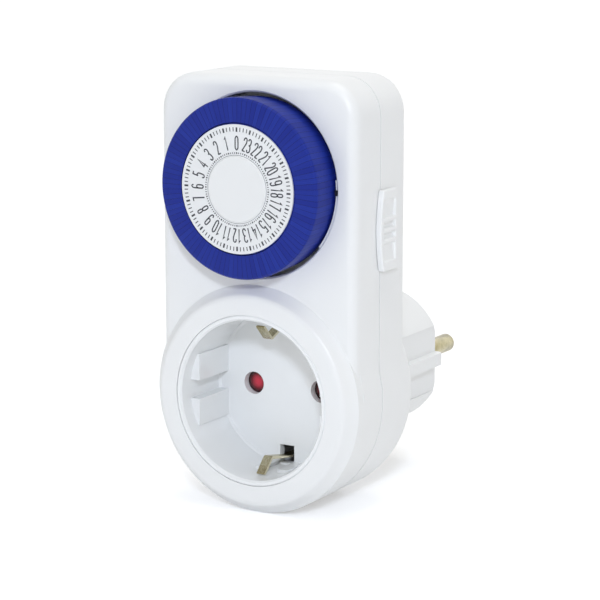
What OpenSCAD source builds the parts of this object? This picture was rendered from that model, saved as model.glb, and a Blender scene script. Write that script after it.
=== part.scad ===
// Plug-in mechanical timer switch with an earthed pass-through socket.
// Millimetres. X to the right, Y towards the wall, Z up.
// Origin: centre of the plug's end face, the face that meets the wall socket.

/* [Housing] */
// Width of the housing beside the dial
body_w = 54; // [52:0.5:60]
// Height of the housing's top above the socket axis
body_top = 77.3; // [76:0.1:84]
// Depth of the housing from its front face to its rear face
body_d = 26; // [25:0.5:32]
// Depth of the front cover behind the front face, up to the parting line
parting_d = 12; // [12:0.5:14]
// Radius of the housing's two top corners
corner_r = 9; // [8:0.5:11]
// Rounding of the front edge
front_edge_r = 2.8; // [2:0.1:3]
// Rounding of the rear edge
rear_edge_r = 3.5; // [2:0.5:4]
// Wall thickness of both covers
wall = 2; // [1.6:0.1:2.2]
// Height of the overlapping lip at the parting line
lip_h = 1.5; // [1:0.1:2]

/* [Collar] */
// Radius of the round collar around the socket
collar_r = 28; // [27.5:0.5:30]
// Radius of the collar's flat front ring
collar_flat_r = 25.2; // [24.5:0.1:26]
// How far the collar stands in front of the front face
collar_h = 3; // [2:0.1:4]
// How far the round pad behind the collar stands out of the rear face
rear_pad_h = 3; // [2:0.1:4]

/* [Socket] */
// Radius of the socket recess
recess_r = 19.5; // [19.5:0.1:20]
// Depth of the socket recess
recess_d = 17.5; // [17:0.1:18]
// Outer radius of the socket insert
insert_r = 20.8; // [20.6:0.1:21.4]
// Thickness of the insert's floor
floor_t = 2; // [1.6:0.1:2.4]
// Distance between the two pin holes
pin_pitch = 19; // [18.8:0.1:19.2]
// Radius of a pin hole
hole_r = 2.8; // [2.6:0.1:3]
// Width of the key groove between two guide ribs
key_w = 4.6; // [4.4:0.1:5]
// Height of one guide rib
rib_h = 6.6; // [5.5:0.1:7]
// Distance from the socket axis to the ribs' inner faces
rib_x = 16.9; // [16.7:0.1:17.4]
// Depth of the ribs' front ends below the rim
rib_drop = 4.2; // [3:0.1:6]

/* [Plug] */
// Length of the plug body behind the rear pad
plug_len = 34.5; // [28:0.5:38]
// Radius of the plug body
plug_r = 17.8; // [17.5:0.1:18.5]
// Distance from the plug axis to its side flats
flat_x = 15.4; // [15.3:0.1:16.2]
// Thickness of the plug's end wall
plug_face_t = 3; // [2.5:0.1:4]
// Radius of a plug pin
pin_r = 2.4; // [2.4:0.01:2.42]
// Length of a plug pin outside the plug
pin_len = 19; // [18.5:0.1:19.5]
// Height of the key on each side of the plug
lug_h = 3.2; // [3:0.1:4.2]

/* [Dial] */
// Height of the dial axis above the socket axis
dial_z = 51.6; // [50.5:0.1:52]
// Radius of the round well around the dial
well_r = 22; // [21.9:0.1:22.2]
// Depth of the dial well
well_d = 8.1; // [8.1:0.1:9]
// Outer radius of the ring of tappets
tappet_r = 21.5; // [21:0.1:21.6]
// Radius of the number disc
disc_r = 15.2; // [14.6:0.1:15.3]
// How far the number disc stands in front of the front face
dial_proud = 8.2; // [7.8:0.1:9]
// Number of tappets, one for each quarter of an hour
tappet_n = 96; // [96]
// Gap between neighbouring tappets, in degrees
tappet_gap = 0.4; // [0.3:0.05:0.7]
// How far a tappet is pushed in
tappet_travel = 2.5; // [1.5:0.1:2.6]
// Radius of the plain cap at the centre of the dial
cap_r = 7.85; // [6:0.05:8.5]
// Radius of the fixed post that the dial turns on
post_r = 3; // [2.5:0.1:3.2]

/* [Gear train] */
// Module of the dial's internal gear and its pinion
dial_mod = 0.3; // [0.3]
// Teeth of the dial's internal gear
ring_teeth = 96; // [96]
// Teeth of each small pinion
pinion_teeth = 8; // [8]
// Module of the clutch wheel and its pinion
clutch_mod = 0.4; // [0.36:0.01:0.42]
// Teeth of the clutch wheel
clutch_teeth = 40; // [40]
// Teeth of the pinion that drives the clutch wheel
driver_teeth = 12; // [12]
// Module of the two reduction wheels
wheel_mod = 0.35; // [0.3:0.01:0.36]
// Teeth of each reduction wheel
wheel_teeth = 48; // [48]
// Radius of the steel arbors
arbor_r = 0.6; // [0.5:0.05:0.7]

/* [Override slide] */
// Height of the slide's centre above the socket axis
slide_z = 41.4; // [39:0.1:43]
// Height of the slide's finger pad
slide_h = 19.2; // [17:0.1:21]
// Width of the finger pad
slide_w = 7.9; // [7.4:0.1:9]
// How far the slide moves down
slide_travel = 3; // [2:0.1:3.5]

/* [Fits] */
// Radial clearance of a shaft that turns in a hole
running = 0.05; // [0.03:0.01:0.08]
// Clearance between parts that slide or lie side by side
slip = 0.1; // [0.08:0.01:0.15]
// Seam between pieces that are assembled and stay still
seam = 0.05; // [0.03:0.01:0.08]

/* [Hidden] */
$fn = 96;
HULL_FN = 32;
FAR = 200;

// Stations along Y, from the plug's end face towards the front
pad_y = -plug_len;
rear_y = pad_y - rear_pad_h;
front_y = rear_y - body_d;
part_y = front_y + parting_d;
collar_y = front_y - collar_h;
floor_y = collar_y + recess_d;
insert_back_y = floor_y + floor_t;
well_y = front_y + well_d;
well_floor_t = 1.5;
rim_c = 0.4;
well_back_y = well_y + well_floor_t;
disc_y = front_y - dial_proud;
rear_wall_y = rear_y - wall;

// Tappets and the dial carrier
tappet_pitch = 360 / tappet_n;
tappet_groups = 12;
tappets_per_group = tappet_n / tappet_groups;
disc_t = 0.4;
cap_t = 0.3;
carrier_front_y = disc_y + disc_t;
tappet_front_y = disc_y + 0.2;
tappet_in_r = disc_r + 0.4;
drum_r = disc_r + 0.2;
drum_in_r = drum_r - 1.8;
tappet_cap_t = 5.5;
skirt_r = tappet_r - 2.5;
skirt_end_y = well_y - tappet_travel - 2.9;
shank_in_r = drum_r + 1.1;
shank_out_r = shank_in_r + 1.2;
flange_r = skirt_r - 0.4;
flange_t = 2;
flange_back_y = skirt_end_y + 2.2;
shank_end_y = flange_back_y + 0.2;
ring_back_y = flange_back_y + 2;

// Dial centre
hub_r = 5;
screw_head_r = 4;
screw_head_t = 1.3;
post_end_y = carrier_front_y + 2.3;
front_plate_t = 2.8;

// Gear train layers and axes, seen from the front
layer_1_y = well_back_y + 0.4;
layer_2_y = layer_1_y + 1.5;
layer_3_y = layer_2_y + 1.5;
gear_t = 1.1;
plate_y = layer_3_y + 1.5;
plate_t = 1.2;
plate_left = 20;
plate_w = 33;
plate_h = 34;
plate_below = 4.8;
clutch_a = dial_mod * (ring_teeth - pinion_teeth) / 2;
CLUTCH = [0, dial_z - clutch_a];
second_a = clutch_mod * (clutch_teeth + driver_teeth) / 2;
SECOND_ANG = 143;
SECOND = CLUTCH + second_a * [cos(SECOND_ANG), sin(SECOND_ANG)];
first_a = wheel_mod * (wheel_teeth + pinion_teeth) / 2;
FIRST_ANG = 78;
FIRST = SECOND + first_a * [cos(FIRST_ANG), sin(FIRST_ANG)];
MOTOR_ANG = 0;
MOTOR = FIRST + first_a * [cos(MOTOR_ANG), sin(MOTOR_ANG)];
motor_r = 13.5;
motor_t = 6.6;
motor_shaft_r = 0.8;
clutch_shaft_r = 0.9;

// Fasteners: X and Z of the four cover screws
screw_r = 1.2;
screw_boss_r = 2.4;
screw_head_side = 2.6;
screw_cup_r = screw_head_side + 0.4;
SCREW_X = body_w / 2 - wall - screw_boss_r;
SCREWS = [[-SCREW_X + 1.6, body_top - 6.3], [SCREW_X - 1.6, body_top - 6.3], [-SCREW_X, 22], [SCREW_X, 22]];
screw_sink = 6;

// Switch
finger_x = (shank_in_r + shank_out_r) / 2;
lever_z = dial_z - 5.6;
lever_y = well_back_y + 2.4;
lever_w = 2.2;
lever_t = 1.6;
tail_len = 14.5;
contact_x = finger_x;
leaf_w = 3.6;
leaf_t = 0.35;
leaf_root_z = lever_z - tail_len - 12.5;
leaf_y = lever_y - lever_t / 2 - slip - leaf_t;
rivet_r = 1.2;
rivet_t = 0.5;
contact_gap = 1.36;

// Socket parts
shutter_t = 1.4;
shutter_y = insert_back_y + 0.15;
pivot_r = 2;
pin_shank_r = 2;
pin_relief = 0.5;
pin_inner_y = -plug_face_t - 11;
plug_wall = 2.2;
flat_half = 8.5;
sleeve_y = shutter_y + shutter_t + 0.3;
sleeve_len = 17;
sleeve_t = 0.7;
clip_w = 2.4;
clip_t = 0.6;
clip_z = 17;
slot_w = 4;
slot_in_z = 14.6;
slot_out_z = 19.1;
strip_t = 0.6;
strap_w = 4;
bridge_y = sleeve_y + 2.4;
riser_x = pin_pitch / 2 + pin_r + sleeve_t;
feed_x = contact_x + leaf_w / 2 + 0.5;
feed_w = 2.4;

function two_digits(n) = n < 10 ? str("0", n) : str(n);

// ---------- helpers ----------

// A flat shape drawn in X and Z, thick from y0 to y1
module slab(y0, y1) {
    translate([0, y1, 0]) rotate([90, 0, 0]) linear_extrude(height = y1 - y0) children();
}

// A round bar along Y
module bar_y(r, y0, y1, x = 0, z = 0) {
    translate([x, y1, z]) rotate([90, 0, 0]) cylinder(h = y1 - y0, r = r);
}

// A cone along Y: radius r0 at y0 and r1 at y1
module cone_y(r0, r1, y0, y1, x = 0, z = 0) {
    translate([x, y1, z]) rotate([90, 0, 0]) cylinder(h = y1 - y0, r1 = r1, r2 = r0);
}

// A profile of [radius, y] points turned about a Y axis
module turned(points, x = 0, z = 0) {
    translate([x, 0, z]) rotate([-90, 0, 0]) rotate_extrude() polygon(points);
}

// A box from one corner to the other
module block(a, b) {
    translate(a) cube(b - a);
}

// Points of an arc, in degrees
function arc(cx, cy, r, a0, a1, n = 8) =
    [for (i = [0:n]) let (a = a0 + (a1 - a0) * i / n) [cx + r * cos(a), cy + r * sin(a)]];

// Involute gear outline. thick is the share of the pitch that a tooth fills,
// add and ded are the tooth's height above and below the pitch circle in modules.
function inv(a) = tan(a) * 180 / PI - a;
function flank(r, rb, half) = half + inv(20) - (r <= rb ? 0 : inv(acos(rb / r)));
function gear_outline(m, n, thick = 0.42, add = 0.85, ded = 1.25) =
    let (rp = m * n / 2, rb = rp * cos(20), ra = rp + add * m, rf = rp - ded * m)
    let (half = 180 / n * thick, low = max(rf, rb))
    let (radii = rf < low - 0.001 ? [rf, low, (low + ra) / 2, ra] : [rf, (rf + ra) / 2, ra])
    let (k = len(radii))
    [for (t = [0:n - 1]) for (s = [0:2 * k - 1])
        let (r = s < k ? radii[s] : radii[2 * k - 1 - s])
        let (side = s < k ? -1 : 1)
        let (a = 360 * t / n + side * flank(r, rb, half))
        [r * cos(a), r * sin(a)]];

// A gear between y0 and y1 with a tooth pointing at angle aim
module gear(m, n, y0, y1, at, aim) {
    slab(y0, y1) translate(at) rotate(aim) polygon(gear_outline(m, n));
}

// ---------- housing ----------

// Front view of the housing, drawn inset by i
module outline(i) {
    circle(r = collar_r - i);
    translate([-(body_w / 2 - i), 0]) square([body_w - 2 * i, body_top - corner_r]);
    translate([-(body_w / 2 - corner_r), 0]) square([body_w - 2 * corner_r, body_top - i]);
    for (s = [-1, 1])
        translate([s * (body_w / 2 - corner_r), body_top - corner_r]) circle(r = corner_r - i);
}

// A disc along Y with both edges rounded, one corner of the housing
module rounded_post() {
    rotate([-90, 0, 0]) rotate_extrude($fn = HULL_FN) polygon(concat(
        [[0, front_y]],
        arc(corner_r - front_edge_r, front_y + front_edge_r, front_edge_r, -90, 0, 7),
        arc(corner_r - rear_edge_r, rear_y - rear_edge_r, rear_edge_r, 0, 90, 7),
        [[0, rear_y]]));
}

// Solid outer form of the closed housing
module housing_form() {
    hull() {
        for (s = [-1, 1]) for (z = [0, body_top - corner_r])
            translate([s * (body_w / 2 - corner_r), 0, z]) rounded_post();
    }
    // Round lower end with its sloped collar in front and its pad behind
    slope_y = collar_y + collar_h;
    turned(concat(
        [[0, collar_y]],
        arc(collar_flat_r - 1, collar_y + 1, 1, -90, -45, 3),
        [[collar_r, slope_y + 0.2]],
        arc(collar_r - rear_edge_r, pad_y - rear_edge_r, rear_edge_r, 0, 90, 8),
        [[0, pad_y]]));
    // Small fillets where the straight sides run into the round end
    side_fillets();
}

module side_fillets() {
    fillet_r = 25;
    cx = body_w / 2 + fillet_r;
    cz = sqrt(pow(collar_r + fillet_r, 2) - cx * cx);
    slab(front_y + front_edge_r, rear_y - rear_edge_r) for (s = [-1, 1])
        difference() {
            translate([s * (body_w / 2 + collar_r) / 2 - 1, 0]) square([2, cz]);
            translate([s * cx, cz]) circle(r = fillet_r);
            translate([s * (body_w / 2 + 1.9), cz / 2]) square([1.8, FAR], center = true);
        }
}

// Both covers' screws pass through here; r is the hole's radius
module screw_holes(r, y0, y1) {
    for (p = SCREWS) bar_y(r, y0, y1, p[0], p[1]);
}

module front_cover() {
    sleeve_r = insert_r + seam;
    color("#E9EDF2") difference() {
        union() {
            difference() {
                housing_form();
                block([-FAR, part_y, -FAR], [FAR, FAR, FAR]);
                slab(front_y + wall + 0.3, part_y + 1) outline(wall + 0.3);
            }
            // Overlapping lip at the parting line
            difference() {
                slab(part_y - 3, part_y + lip_h) outline(wall / 2 + seam);
                slab(part_y - 4, part_y + lip_h + 1) outline(wall + 0.3);
            }
            // Wall and floor of the dial well
            slab(front_y + 0.5, well_back_y) intersection() {
                translate([0, dial_z]) circle(r = well_r + 1.3);
                outline(wall);
            }
            // Sleeve that holds the socket insert
            bar_y(sleeve_r + 1.4, collar_y + 1, collar_y + 7);
            // Screw bosses
            intersection() {
                screw_bosses(front_y + 1, part_y - seam);
                slab(collar_y, part_y) outline(wall);
            }
        }
        difference() {
            bar_y(well_r, front_y - 1, well_y, 0, dial_z);
            pointer_nub();
        }
        cone_y(well_r + rim_c, well_r, front_y - 0.01, front_y + rim_c, 0, dial_z);
        parting_groove();
        bar_y(sleeve_r, collar_y - 1, part_y + 5);
        screw_holes(screw_r, front_y + 3, part_y + 1);
        // Hole for the clutch shaft and window for the lever's finger
        bar_y(clutch_shaft_r + running, well_y - 1, well_back_y + 1, CLUTCH[0], CLUTCH[1]);
        block([finger_x - 1.3, well_y - 1, dial_z - 2.2], [finger_x + 1.3, well_back_y + 1, dial_z + 2.2]);
        // Notch in the lip for the override slide
        slide_notch(part_y - 0.01);
        time_pointer();
    }
    color("#E9EDF2") difference() {
        dial_post();
        bar_y(screw_r, post_end_y - 1, post_end_y + 7, 0, dial_z);
    }
    color("#E9EDF2") lever_ears();
}

// Fine groove that marks the parting line on the outside
module parting_groove() {
    slab(part_y - 0.35, part_y + 0.01) difference() {
        square(FAR, center = true);
        outline(0.3);
    }
}

module dial_post() {
    bar_y(post_r, post_end_y, well_y + 0.5, 0, dial_z);
    cone_y(post_r, post_r + 1.2, well_y - 0.4, well_y + 0.4, 0, dial_z);
}

module screw_bosses(y0, y1) {
    for (p = SCREWS) bar_y(screw_boss_r, y0, y1, p[0], p[1]);
}

// Two ears under the well floor that carry the lever's trunnions
module lever_ears() {
    for (s = [-1, 1]) difference() {
        block([finger_x + s * 2.2 - 0.5, well_back_y - 0.2, lever_z - 2],
              [finger_x + s * 2.2 + 0.5, lever_y + 1.9, lever_z + 2]);
        translate([finger_x + s * 2.2 - 1, lever_y, lever_z]) rotate([0, 90, 0])
            cylinder(h = 2, r = 1 + running);
    }
}

module slide_notch(y0) {
    stem_h = 8;
    block([body_w / 2 - wall - 1.5, y0, slide_z - stem_h / 2 - slide_travel - 2 * slip],
          [body_w / 2 + 1, part_y + 4.6, slide_z + stem_h / 2 + 2 * slip]);
}

module rear_cover() {
    color("#E6EAEF") difference() {
        union() {
            difference() {
                union() {
                    housing_form();
                    plug_body();
                }
                block([-FAR, -FAR, -FAR], [FAR, part_y, FAR]);
                slab(part_y - 1, rear_wall_y) outline(wall + 0.3);
                slab(part_y - 1, part_y + lip_h + 0.2) outline(wall / 2);
                plug_cavity();
            }
            // Screw bosses, each with a wider cup round the sunk head
            intersection() {
                union() {
                    screw_bosses(part_y, rear_y - 1);
                    screw_holes(screw_cup_r + 1.2, rear_y - screw_sink - 1.5, rear_y - 1);
                }
                union() {
                    slab(part_y, rear_y) outline(wall + 0.3 + seam);
                    slab(part_y + lip_h + 0.2, rear_y) outline(wall);
                }
            }
            // Collars that grip the plug pins behind the end wall
            for (s = [-1, 1]) bar_y(pin_r + 1.8, -plug_face_t - 4, -plug_face_t + 0.5, s * pin_pitch / 2, 0);
        }
        screw_holes(screw_r + 0.3, part_y - 1, rear_y + 5);
        screw_holes(screw_cup_r, rear_y - screw_sink, FAR / 4);
        slide_notch(part_y - 1);
        for (s = [-1, 1]) {
            bar_y(pin_shank_r, -FAR / 4, 1, s * pin_pitch / 2, 0);
            // Relief round the pin's root
            bar_y(pin_r, -pin_relief, 1, s * pin_pitch / 2, 0);
        }
        earth_grooves();
    }
}

// Outer form of the plug: a round body with side flats and a key on each flat
module plug_body() {
    edge = 1;
    intersection() {
        turned([[0, rear_y - 1], [plug_r + 0.4, rear_y - 1], [plug_r, -edge], [plug_r - edge, 0], [0, 0]]);
        union() {
            block([-flat_x, rear_y - 2, -FAR], [flat_x, 1, FAR]);
            block([-plug_r, rear_y - 2, -lug_h / 2], [plug_r, 1, lug_h / 2]);
            // Above and below the flats the body is fully round
            block([-FAR, rear_y - 2, flat_half], [FAR, 1, FAR]);
            block([-FAR, rear_y - 2, -FAR], [FAR, 1, -flat_half]);
        }
    }
}

module plug_cavity() {
    inner = plug_r - plug_wall;
    intersection() {
        bar_y(inner, rear_wall_y - 1, -plug_face_t);
        block([-flat_x + plug_wall, rear_wall_y - 2, -inner], [flat_x - plug_wall, 0, inner]);
    }
}

// Grooves at the plug's top and bottom for the side earth contacts
module earth_grooves() {
    for (s = [-1, 1]) {
        block([-strap_w / 2 - 0.6, -17, min(s * (plug_r - 1.6), s * (plug_r + 2))],
              [strap_w / 2 + 0.6, 1, max(s * (plug_r - 1.6), s * (plug_r + 2))]);
        block([-strap_w / 2 - slip, -plug_face_t - 13, min(s * (plug_r - 5), s * (plug_r + 2))],
              [strap_w / 2 + slip, -plug_face_t - 11, max(s * (plug_r - 5), s * (plug_r + 2))]);
    }
}

// ---------- socket ----------

module socket_insert() {
    color("#DDE3EA") difference() {
        union() {
            difference() {
                turned([[0, collar_y], [insert_r - 0.3, collar_y], [insert_r, collar_y + 0.3],
                        [insert_r, collar_y + 7 + slip], [insert_r + 1.2, collar_y + 7 + slip],
                        [insert_r + 1.2, collar_y + 8.5], [insert_r, collar_y + 8.5],
                        [insert_r, insert_back_y], [0, insert_back_y]]);
                turned([[0, collar_y - 1], [recess_r + 1.4, collar_y - 1], [recess_r + 0.4, collar_y],
                        [recess_r, collar_y + 0.5], [recess_r, floor_y - 0.6],
                        [recess_r - 0.6, floor_y], [0, floor_y]]);
            }
            guide_ribs();
            clip_guards();
            // Pivot of the shutter
            bar_y(pivot_r, insert_back_y - 0.5, shutter_y + shutter_t + 1.8);
        }
        for (s = [-1, 1]) {
            bar_y(hole_r, floor_y - 1, insert_back_y + 1, s * pin_pitch / 2, 0);
            translate([0, 0, s * (slot_in_z + slot_out_z) / 2])
                block([-slot_w / 2, floor_y - 1, (slot_in_z - slot_out_z) / 2],
                      [slot_w / 2, insert_back_y + 1, (slot_out_z - slot_in_z) / 2]);
        }
    }
}

// Two pairs of ribs that key the inserted plug
module guide_ribs() {
    intersection() {
        bar_y(recess_r + 0.5, collar_y + rib_drop, floor_y + 0.5);
        for (sx = [-1, 1]) for (sz = [-1, 1])
            translate([sx * (rib_x + 2), 0, sz * (key_w / 2 + rib_h / 2)])
                block([-2, collar_y, -rib_h / 2], [2, floor_y + 1, rib_h / 2]);
    }
}

// Low ribs on the recess wall on both sides of each earth clip
module clip_guards() {
    guard_w = 2.6;
    guard_len = 8;
    top = recess_r - 0.9;
    intersection() {
        bar_y(recess_r + 0.5, floor_y - guard_len, floor_y + 0.5);
        for (sx = [0, 1]) mirror([sx, 0, 0]) for (sz = [0, 1]) mirror([0, 0, sz])
            block([slot_w / 2, floor_y - FAR, top], [slot_w / 2 + guard_w, floor_y + 1, FAR]);
    }
}

// Two-winged shutter that covers the pin holes and turns away for a plug
module pin_shutter() {
    color("#B02333") difference() {
        slab(shutter_y, shutter_y + shutter_t) union() {
            circle(r = 4.2);
            for (s = [0, 180]) rotate(s) {
                intersection() {
                    circle(r = pin_pitch / 2 + hole_r + 0.7);
                    translate([0, -4.2]) square([FAR, 8.4]);
                }
            }
        }
        bar_y(pivot_r + running, shutter_y - 1, shutter_y + shutter_t + 1);
    }
}

// Torsion spring around the shutter's pivot, a wire swept along its turns and legs
module shutter_spring() {
    coil_r = 2.6;
    wire_r = 0.2;
    turns = 2.5;
    leg = 4;
    y0 = shutter_y + shutter_t + 0.3;
    rise = 2.4 * wire_r / 360;
    coil = [for (t = [0:30:turns * 360]) t];
    last = turns * 360;
    path = concat([[coil_r, y0, -leg]],
                  [for (t = coil) [coil_r * cos(t), y0 + rise * t, coil_r * sin(t)]],
                  [[-coil_r, y0 + rise * last, -leg]]);
    out = concat([[1, 0, 0]], [for (t = coil) [cos(t), 0, sin(t)]], [[-1, 0, 0]]);
    sides = 8;
    n = len(path);
    points = [for (i = [0:n - 1]) for (k = [0:sides - 1])
        path[i] + wire_r * (cos(360 * k / sides) * out[i] + sin(360 * k / sides) * [0, 1, 0])];
    walls = [for (i = [0:n - 2]) for (k = [0:sides - 1])
        let (next = (k + 1) % sides)
        [i * sides + k, (i + 1) * sides + k, (i + 1) * sides + next, i * sides + next]];
    caps = [[for (k = [0:sides - 1]) k], [for (k = [sides - 1:-1:0]) (n - 1) * sides + k]];
    color("#B9BDC2") polyhedron(points, concat(walls, caps));
}

// Spring clips that touch the earth strips of an inserted plug
module socket_earth_clips() {
    color("#B9AE8C") {
        for (s = [-1, 1]) clip_strip(s);
        // Bridge behind the insert's floor
        block([-strap_w / 2, bridge_y, -clip_z - clip_t], [strap_w / 2, bridge_y + strip_t, clip_z + clip_t]);
    }
}

// Out through the floor slot, towards the axis, then bent back out to the wall
module clip_strip(s) {
    bend_y = floor_y - 9;
    bend_z = clip_z - 1.7;
    tip_y = floor_y - 12.7;
    tip_z = recess_r - 0.55;
    mirror([0, 0, s < 0 ? 1 : 0]) translate([-clip_w / 2, 0, 0]) rotate([90, 0, 90])
        linear_extrude(height = clip_w) polygon([
            [bridge_y + strip_t, clip_z + clip_t], [bridge_y + strip_t, clip_z],
            [floor_y, clip_z], [bend_y + 0.3, bend_z], [bend_y - 0.4, bend_z + 0.3],
            [tip_y, tip_z], [tip_y + 0.5, tip_z + 0.3],
            [bend_y + 0.1, bend_z + clip_t + 0.15], [floor_y, clip_z + clip_t]]);
}

// Two strips from the bridge to the side contacts of the plug
module plug_earth_strap() {
    y0 = bridge_y + strip_t;
    slot_y = -plug_face_t - 11.6;
    reach = plug_r - 1;
    inner = plug_r - 4.2;
    color("#B9AE8C") for (s = [0, 1]) mirror([0, 0, s]) {
        // Along the inside of the plug, out through the slot and along the groove
        block([-strap_w / 2, y0, inner - strip_t], [strap_w / 2, slot_y, inner]);
        block([-strap_w / 2, slot_y - strip_t, inner - strip_t], [strap_w / 2, slot_y, reach]);
        block([-strap_w / 2, slot_y - strip_t, reach - strip_t], [strap_w / 2, -1.2, reach]);
    }
}

module plug_pin(x) {
    chamfer = 1.2;
    color("#C9A548") turned([[0, pin_inner_y], [pin_shank_r, pin_inner_y], [pin_shank_r, 0],
        [pin_r, 0], [pin_r, pin_len - chamfer],
        [pin_r - 0.35, pin_len - 0.45], [pin_r - chamfer, pin_len], [0, pin_len]], x);
}

// Slotted tube that grips an inserted pin
module socket_sleeve(x) {
    difference() {
        bar_y(pin_r + sleeve_t, sleeve_y, sleeve_y + sleeve_len, x, 0);
        bar_y(pin_r, sleeve_y - 1, sleeve_y + sleeve_len - 2, x, 0);
        block([x - 0.4, sleeve_y - 1, -FAR], [x + 0.4, sleeve_y + sleeve_len - 4, 0]);
    }
}

// The neutral side is one strip from the sleeve straight to its plug pin
module neutral_socket_contact() {
    x = -pin_pitch / 2;
    y1 = sleeve_y + sleeve_len;
    color("#C7A24C") {
        socket_sleeve(x);
        bar_y(1.6, y1 - 0.5, -plug_face_t - 11, x, 0);
    }
}

// The switched side goes from the sleeve up to the fixed contact
module live_socket_contact() {
    x = pin_pitch / 2;
    y0 = sleeve_y + sleeve_len - 2;
    y1 = rear_wall_y - 2;
    z1 = leaf_root_z - 3.2;
    color("#C7A24C") {
        socket_sleeve(x);
        block([riser_x - 0.3, y1 - strip_t, -1.2], [riser_x + 0.3, y0, 1.2]);
        block([riser_x - 0.3, y1 - strip_t, -1.2], [riser_x + 2.1, y1, z1]);
        block([riser_x - 0.3, y1 - strip_t, z1 - 2.4], [contact_x + 1.2, y1, z1]);
    }
}

// Feed from the live plug pin up to the root of the contact spring
module live_feed_strip() {
    x = pin_pitch / 2;
    y0 = insert_back_y + 0.5;
    y1 = pin_inner_y;
    z1 = plug_r - plug_wall - 5.4;
    color("#C7A24C") {
        block([x - 1.2, y1 - strip_t, -1.5], [x + 1.2, y1, z1]);
        block([x - 1.2, y0, z1 - strip_t], [x + 1.2, y1, z1]);
        block([x - 1.2, y0, z1 - strip_t], [feed_x + feed_w, y0 + strip_t, z1 + 1.8]);
        block([feed_x, y0, z1 - strip_t], [feed_x + feed_w, y0 + strip_t, leaf_root_z]);
        block([feed_x, leaf_y, leaf_root_z - strip_t], [feed_x + feed_w, y0 + strip_t, leaf_root_z]);
        block([contact_x - leaf_w / 2, leaf_y, leaf_root_z - strip_t], [feed_x + feed_w, leaf_y + 2.4, leaf_root_z]);
    }
}

// ---------- switch ----------

module fixed_contact() {
    y = leaf_y - rivet_t - contact_gap - rivet_t;
    z = lever_z - tail_len - 0.2;
    foot_y = rear_wall_y - 2.6;
    color("#C7A24C") {
        block([contact_x - leaf_w / 2, y - 0.6, leaf_root_z - 3.6], [contact_x + leaf_w / 2, y, z + 1.5]);
        block([contact_x - leaf_w / 2, y - 0.6, leaf_root_z - 3.6], [contact_x + leaf_w / 2, foot_y, leaf_root_z - 3]);
    }
    color("#D9DBDE") bar_y(rivet_r, y, y + rivet_t, contact_x, z);
}

// Leaf that carries the moving contact; it bends at its root
module contact_spring() {
    z = lever_z - tail_len - 0.2;
    color("#C98F4E") block([contact_x - leaf_w / 2, leaf_y, leaf_root_z + slip],
                           [contact_x + leaf_w / 2, leaf_y + leaf_t, z + 1.5]);
    color("#D9DBDE") bar_y(rivet_r, leaf_y - rivet_t, leaf_y, contact_x, z);
}

module switch_lever() {
    half = lever_w / 2;
    finger_end = well_y + 0.05;
    color("#C9CCD0") {
        block([finger_x - half, lever_y - lever_t / 2, lever_z - tail_len], [finger_x + half, lever_y + lever_t / 2, dial_z + 0.9]);
        block([finger_x - 0.5, finger_end, dial_z - 0.9], [finger_x + 0.5, lever_y, dial_z + 0.9]);
        translate([finger_x - 2.9, lever_y, lever_z]) rotate([0, 90, 0]) cylinder(h = 5.8, r = 1);
    }
}

// ---------- drive ----------

module mechanism_plate() {
    color("#C4C8CC") difference() {
        slab(plate_y, plate_y + plate_t) difference() {
            translate([-plate_left, CLUTCH[1] - plate_below]) square([plate_w, plate_h]);
            // Corner cut away beside the lever
            translate([plate_w - plate_left - 5, 0]) square([FAR, lever_z + 0.6]);
        }
        for (p = [SECOND, FIRST]) bar_y(arbor_r, plate_y - 1, plate_y + plate_t + 1, p[0], p[1]);
        bar_y(clutch_shaft_r + running, plate_y - 1, plate_y + plate_t + 1, CLUTCH[0], CLUTCH[1]);
        bar_y(motor_shaft_r + running, plate_y - 1, plate_y + plate_t + 1, MOTOR[0], MOTOR[1]);
    }
    // Pillars to the back of the well floor
    color("#C4C8CC") for (p = [[-18, dial_z - 2], [-6, dial_z + 13.4], [9, dial_z + 13.4]])
        bar_y(1.5, well_back_y, plate_y + 0.2, p[0], p[1]);
}

module gear_arbors() {
    color("#AEB3B8") for (p = [SECOND, FIRST]) bar_y(arbor_r, well_back_y, plate_y + plate_t, p[0], p[1]);
}

module motor_case() {
    y0 = plate_y + plate_t;
    color("#B4B8BC") difference() {
        bar_y(motor_r, y0, y0 + motor_t, MOTOR[0], MOTOR[1]);
        turned([[motor_r - 8, y0 + 0.8], [motor_r - 1, y0 + 0.8], [motor_r - 1, y0 + motor_t - 0.8],
                [motor_r - 8, y0 + motor_t - 0.8]], MOTOR[0], MOTOR[1]);
        bar_y(motor_shaft_r + running, y0 - 1, y0 + motor_t - 1, MOTOR[0], MOTOR[1]);
    }
}

module motor_coil() {
    y0 = plate_y + plate_t;
    color("#A5622F") turned([[motor_r - 7.9, y0 + 0.9], [motor_r - 1.1, y0 + 0.9],
        [motor_r - 1.1, y0 + motor_t - 0.9], [motor_r - 7.9, y0 + motor_t - 0.9]], MOTOR[0], MOTOR[1]);
}

module motor_pinion() {
    color("#C9A548") {
        gear(wheel_mod, pinion_teeth, layer_3_y, layer_3_y + gear_t, MOTOR, MOTOR_ANG + 180);
        bar_y(motor_shaft_r, layer_3_y + gear_t - 0.01, plate_y + plate_t + motor_t - 1.2, MOTOR[0], MOTOR[1]);
    }
}

// First reduction: a wheel driven by the motor and a pinion in front of it
module gear_first() {
    color("#E4E0CF") difference() {
        union() {
            gear(wheel_mod, wheel_teeth, layer_3_y, layer_3_y + gear_t, FIRST, MOTOR_ANG + 180 / wheel_teeth);
            gear(wheel_mod, pinion_teeth, layer_2_y, layer_3_y + 0.1, FIRST, FIRST_ANG + 180);
        }
        bar_y(arbor_r + running, layer_1_y - 1, plate_y, FIRST[0], FIRST[1]);
    }
}

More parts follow.
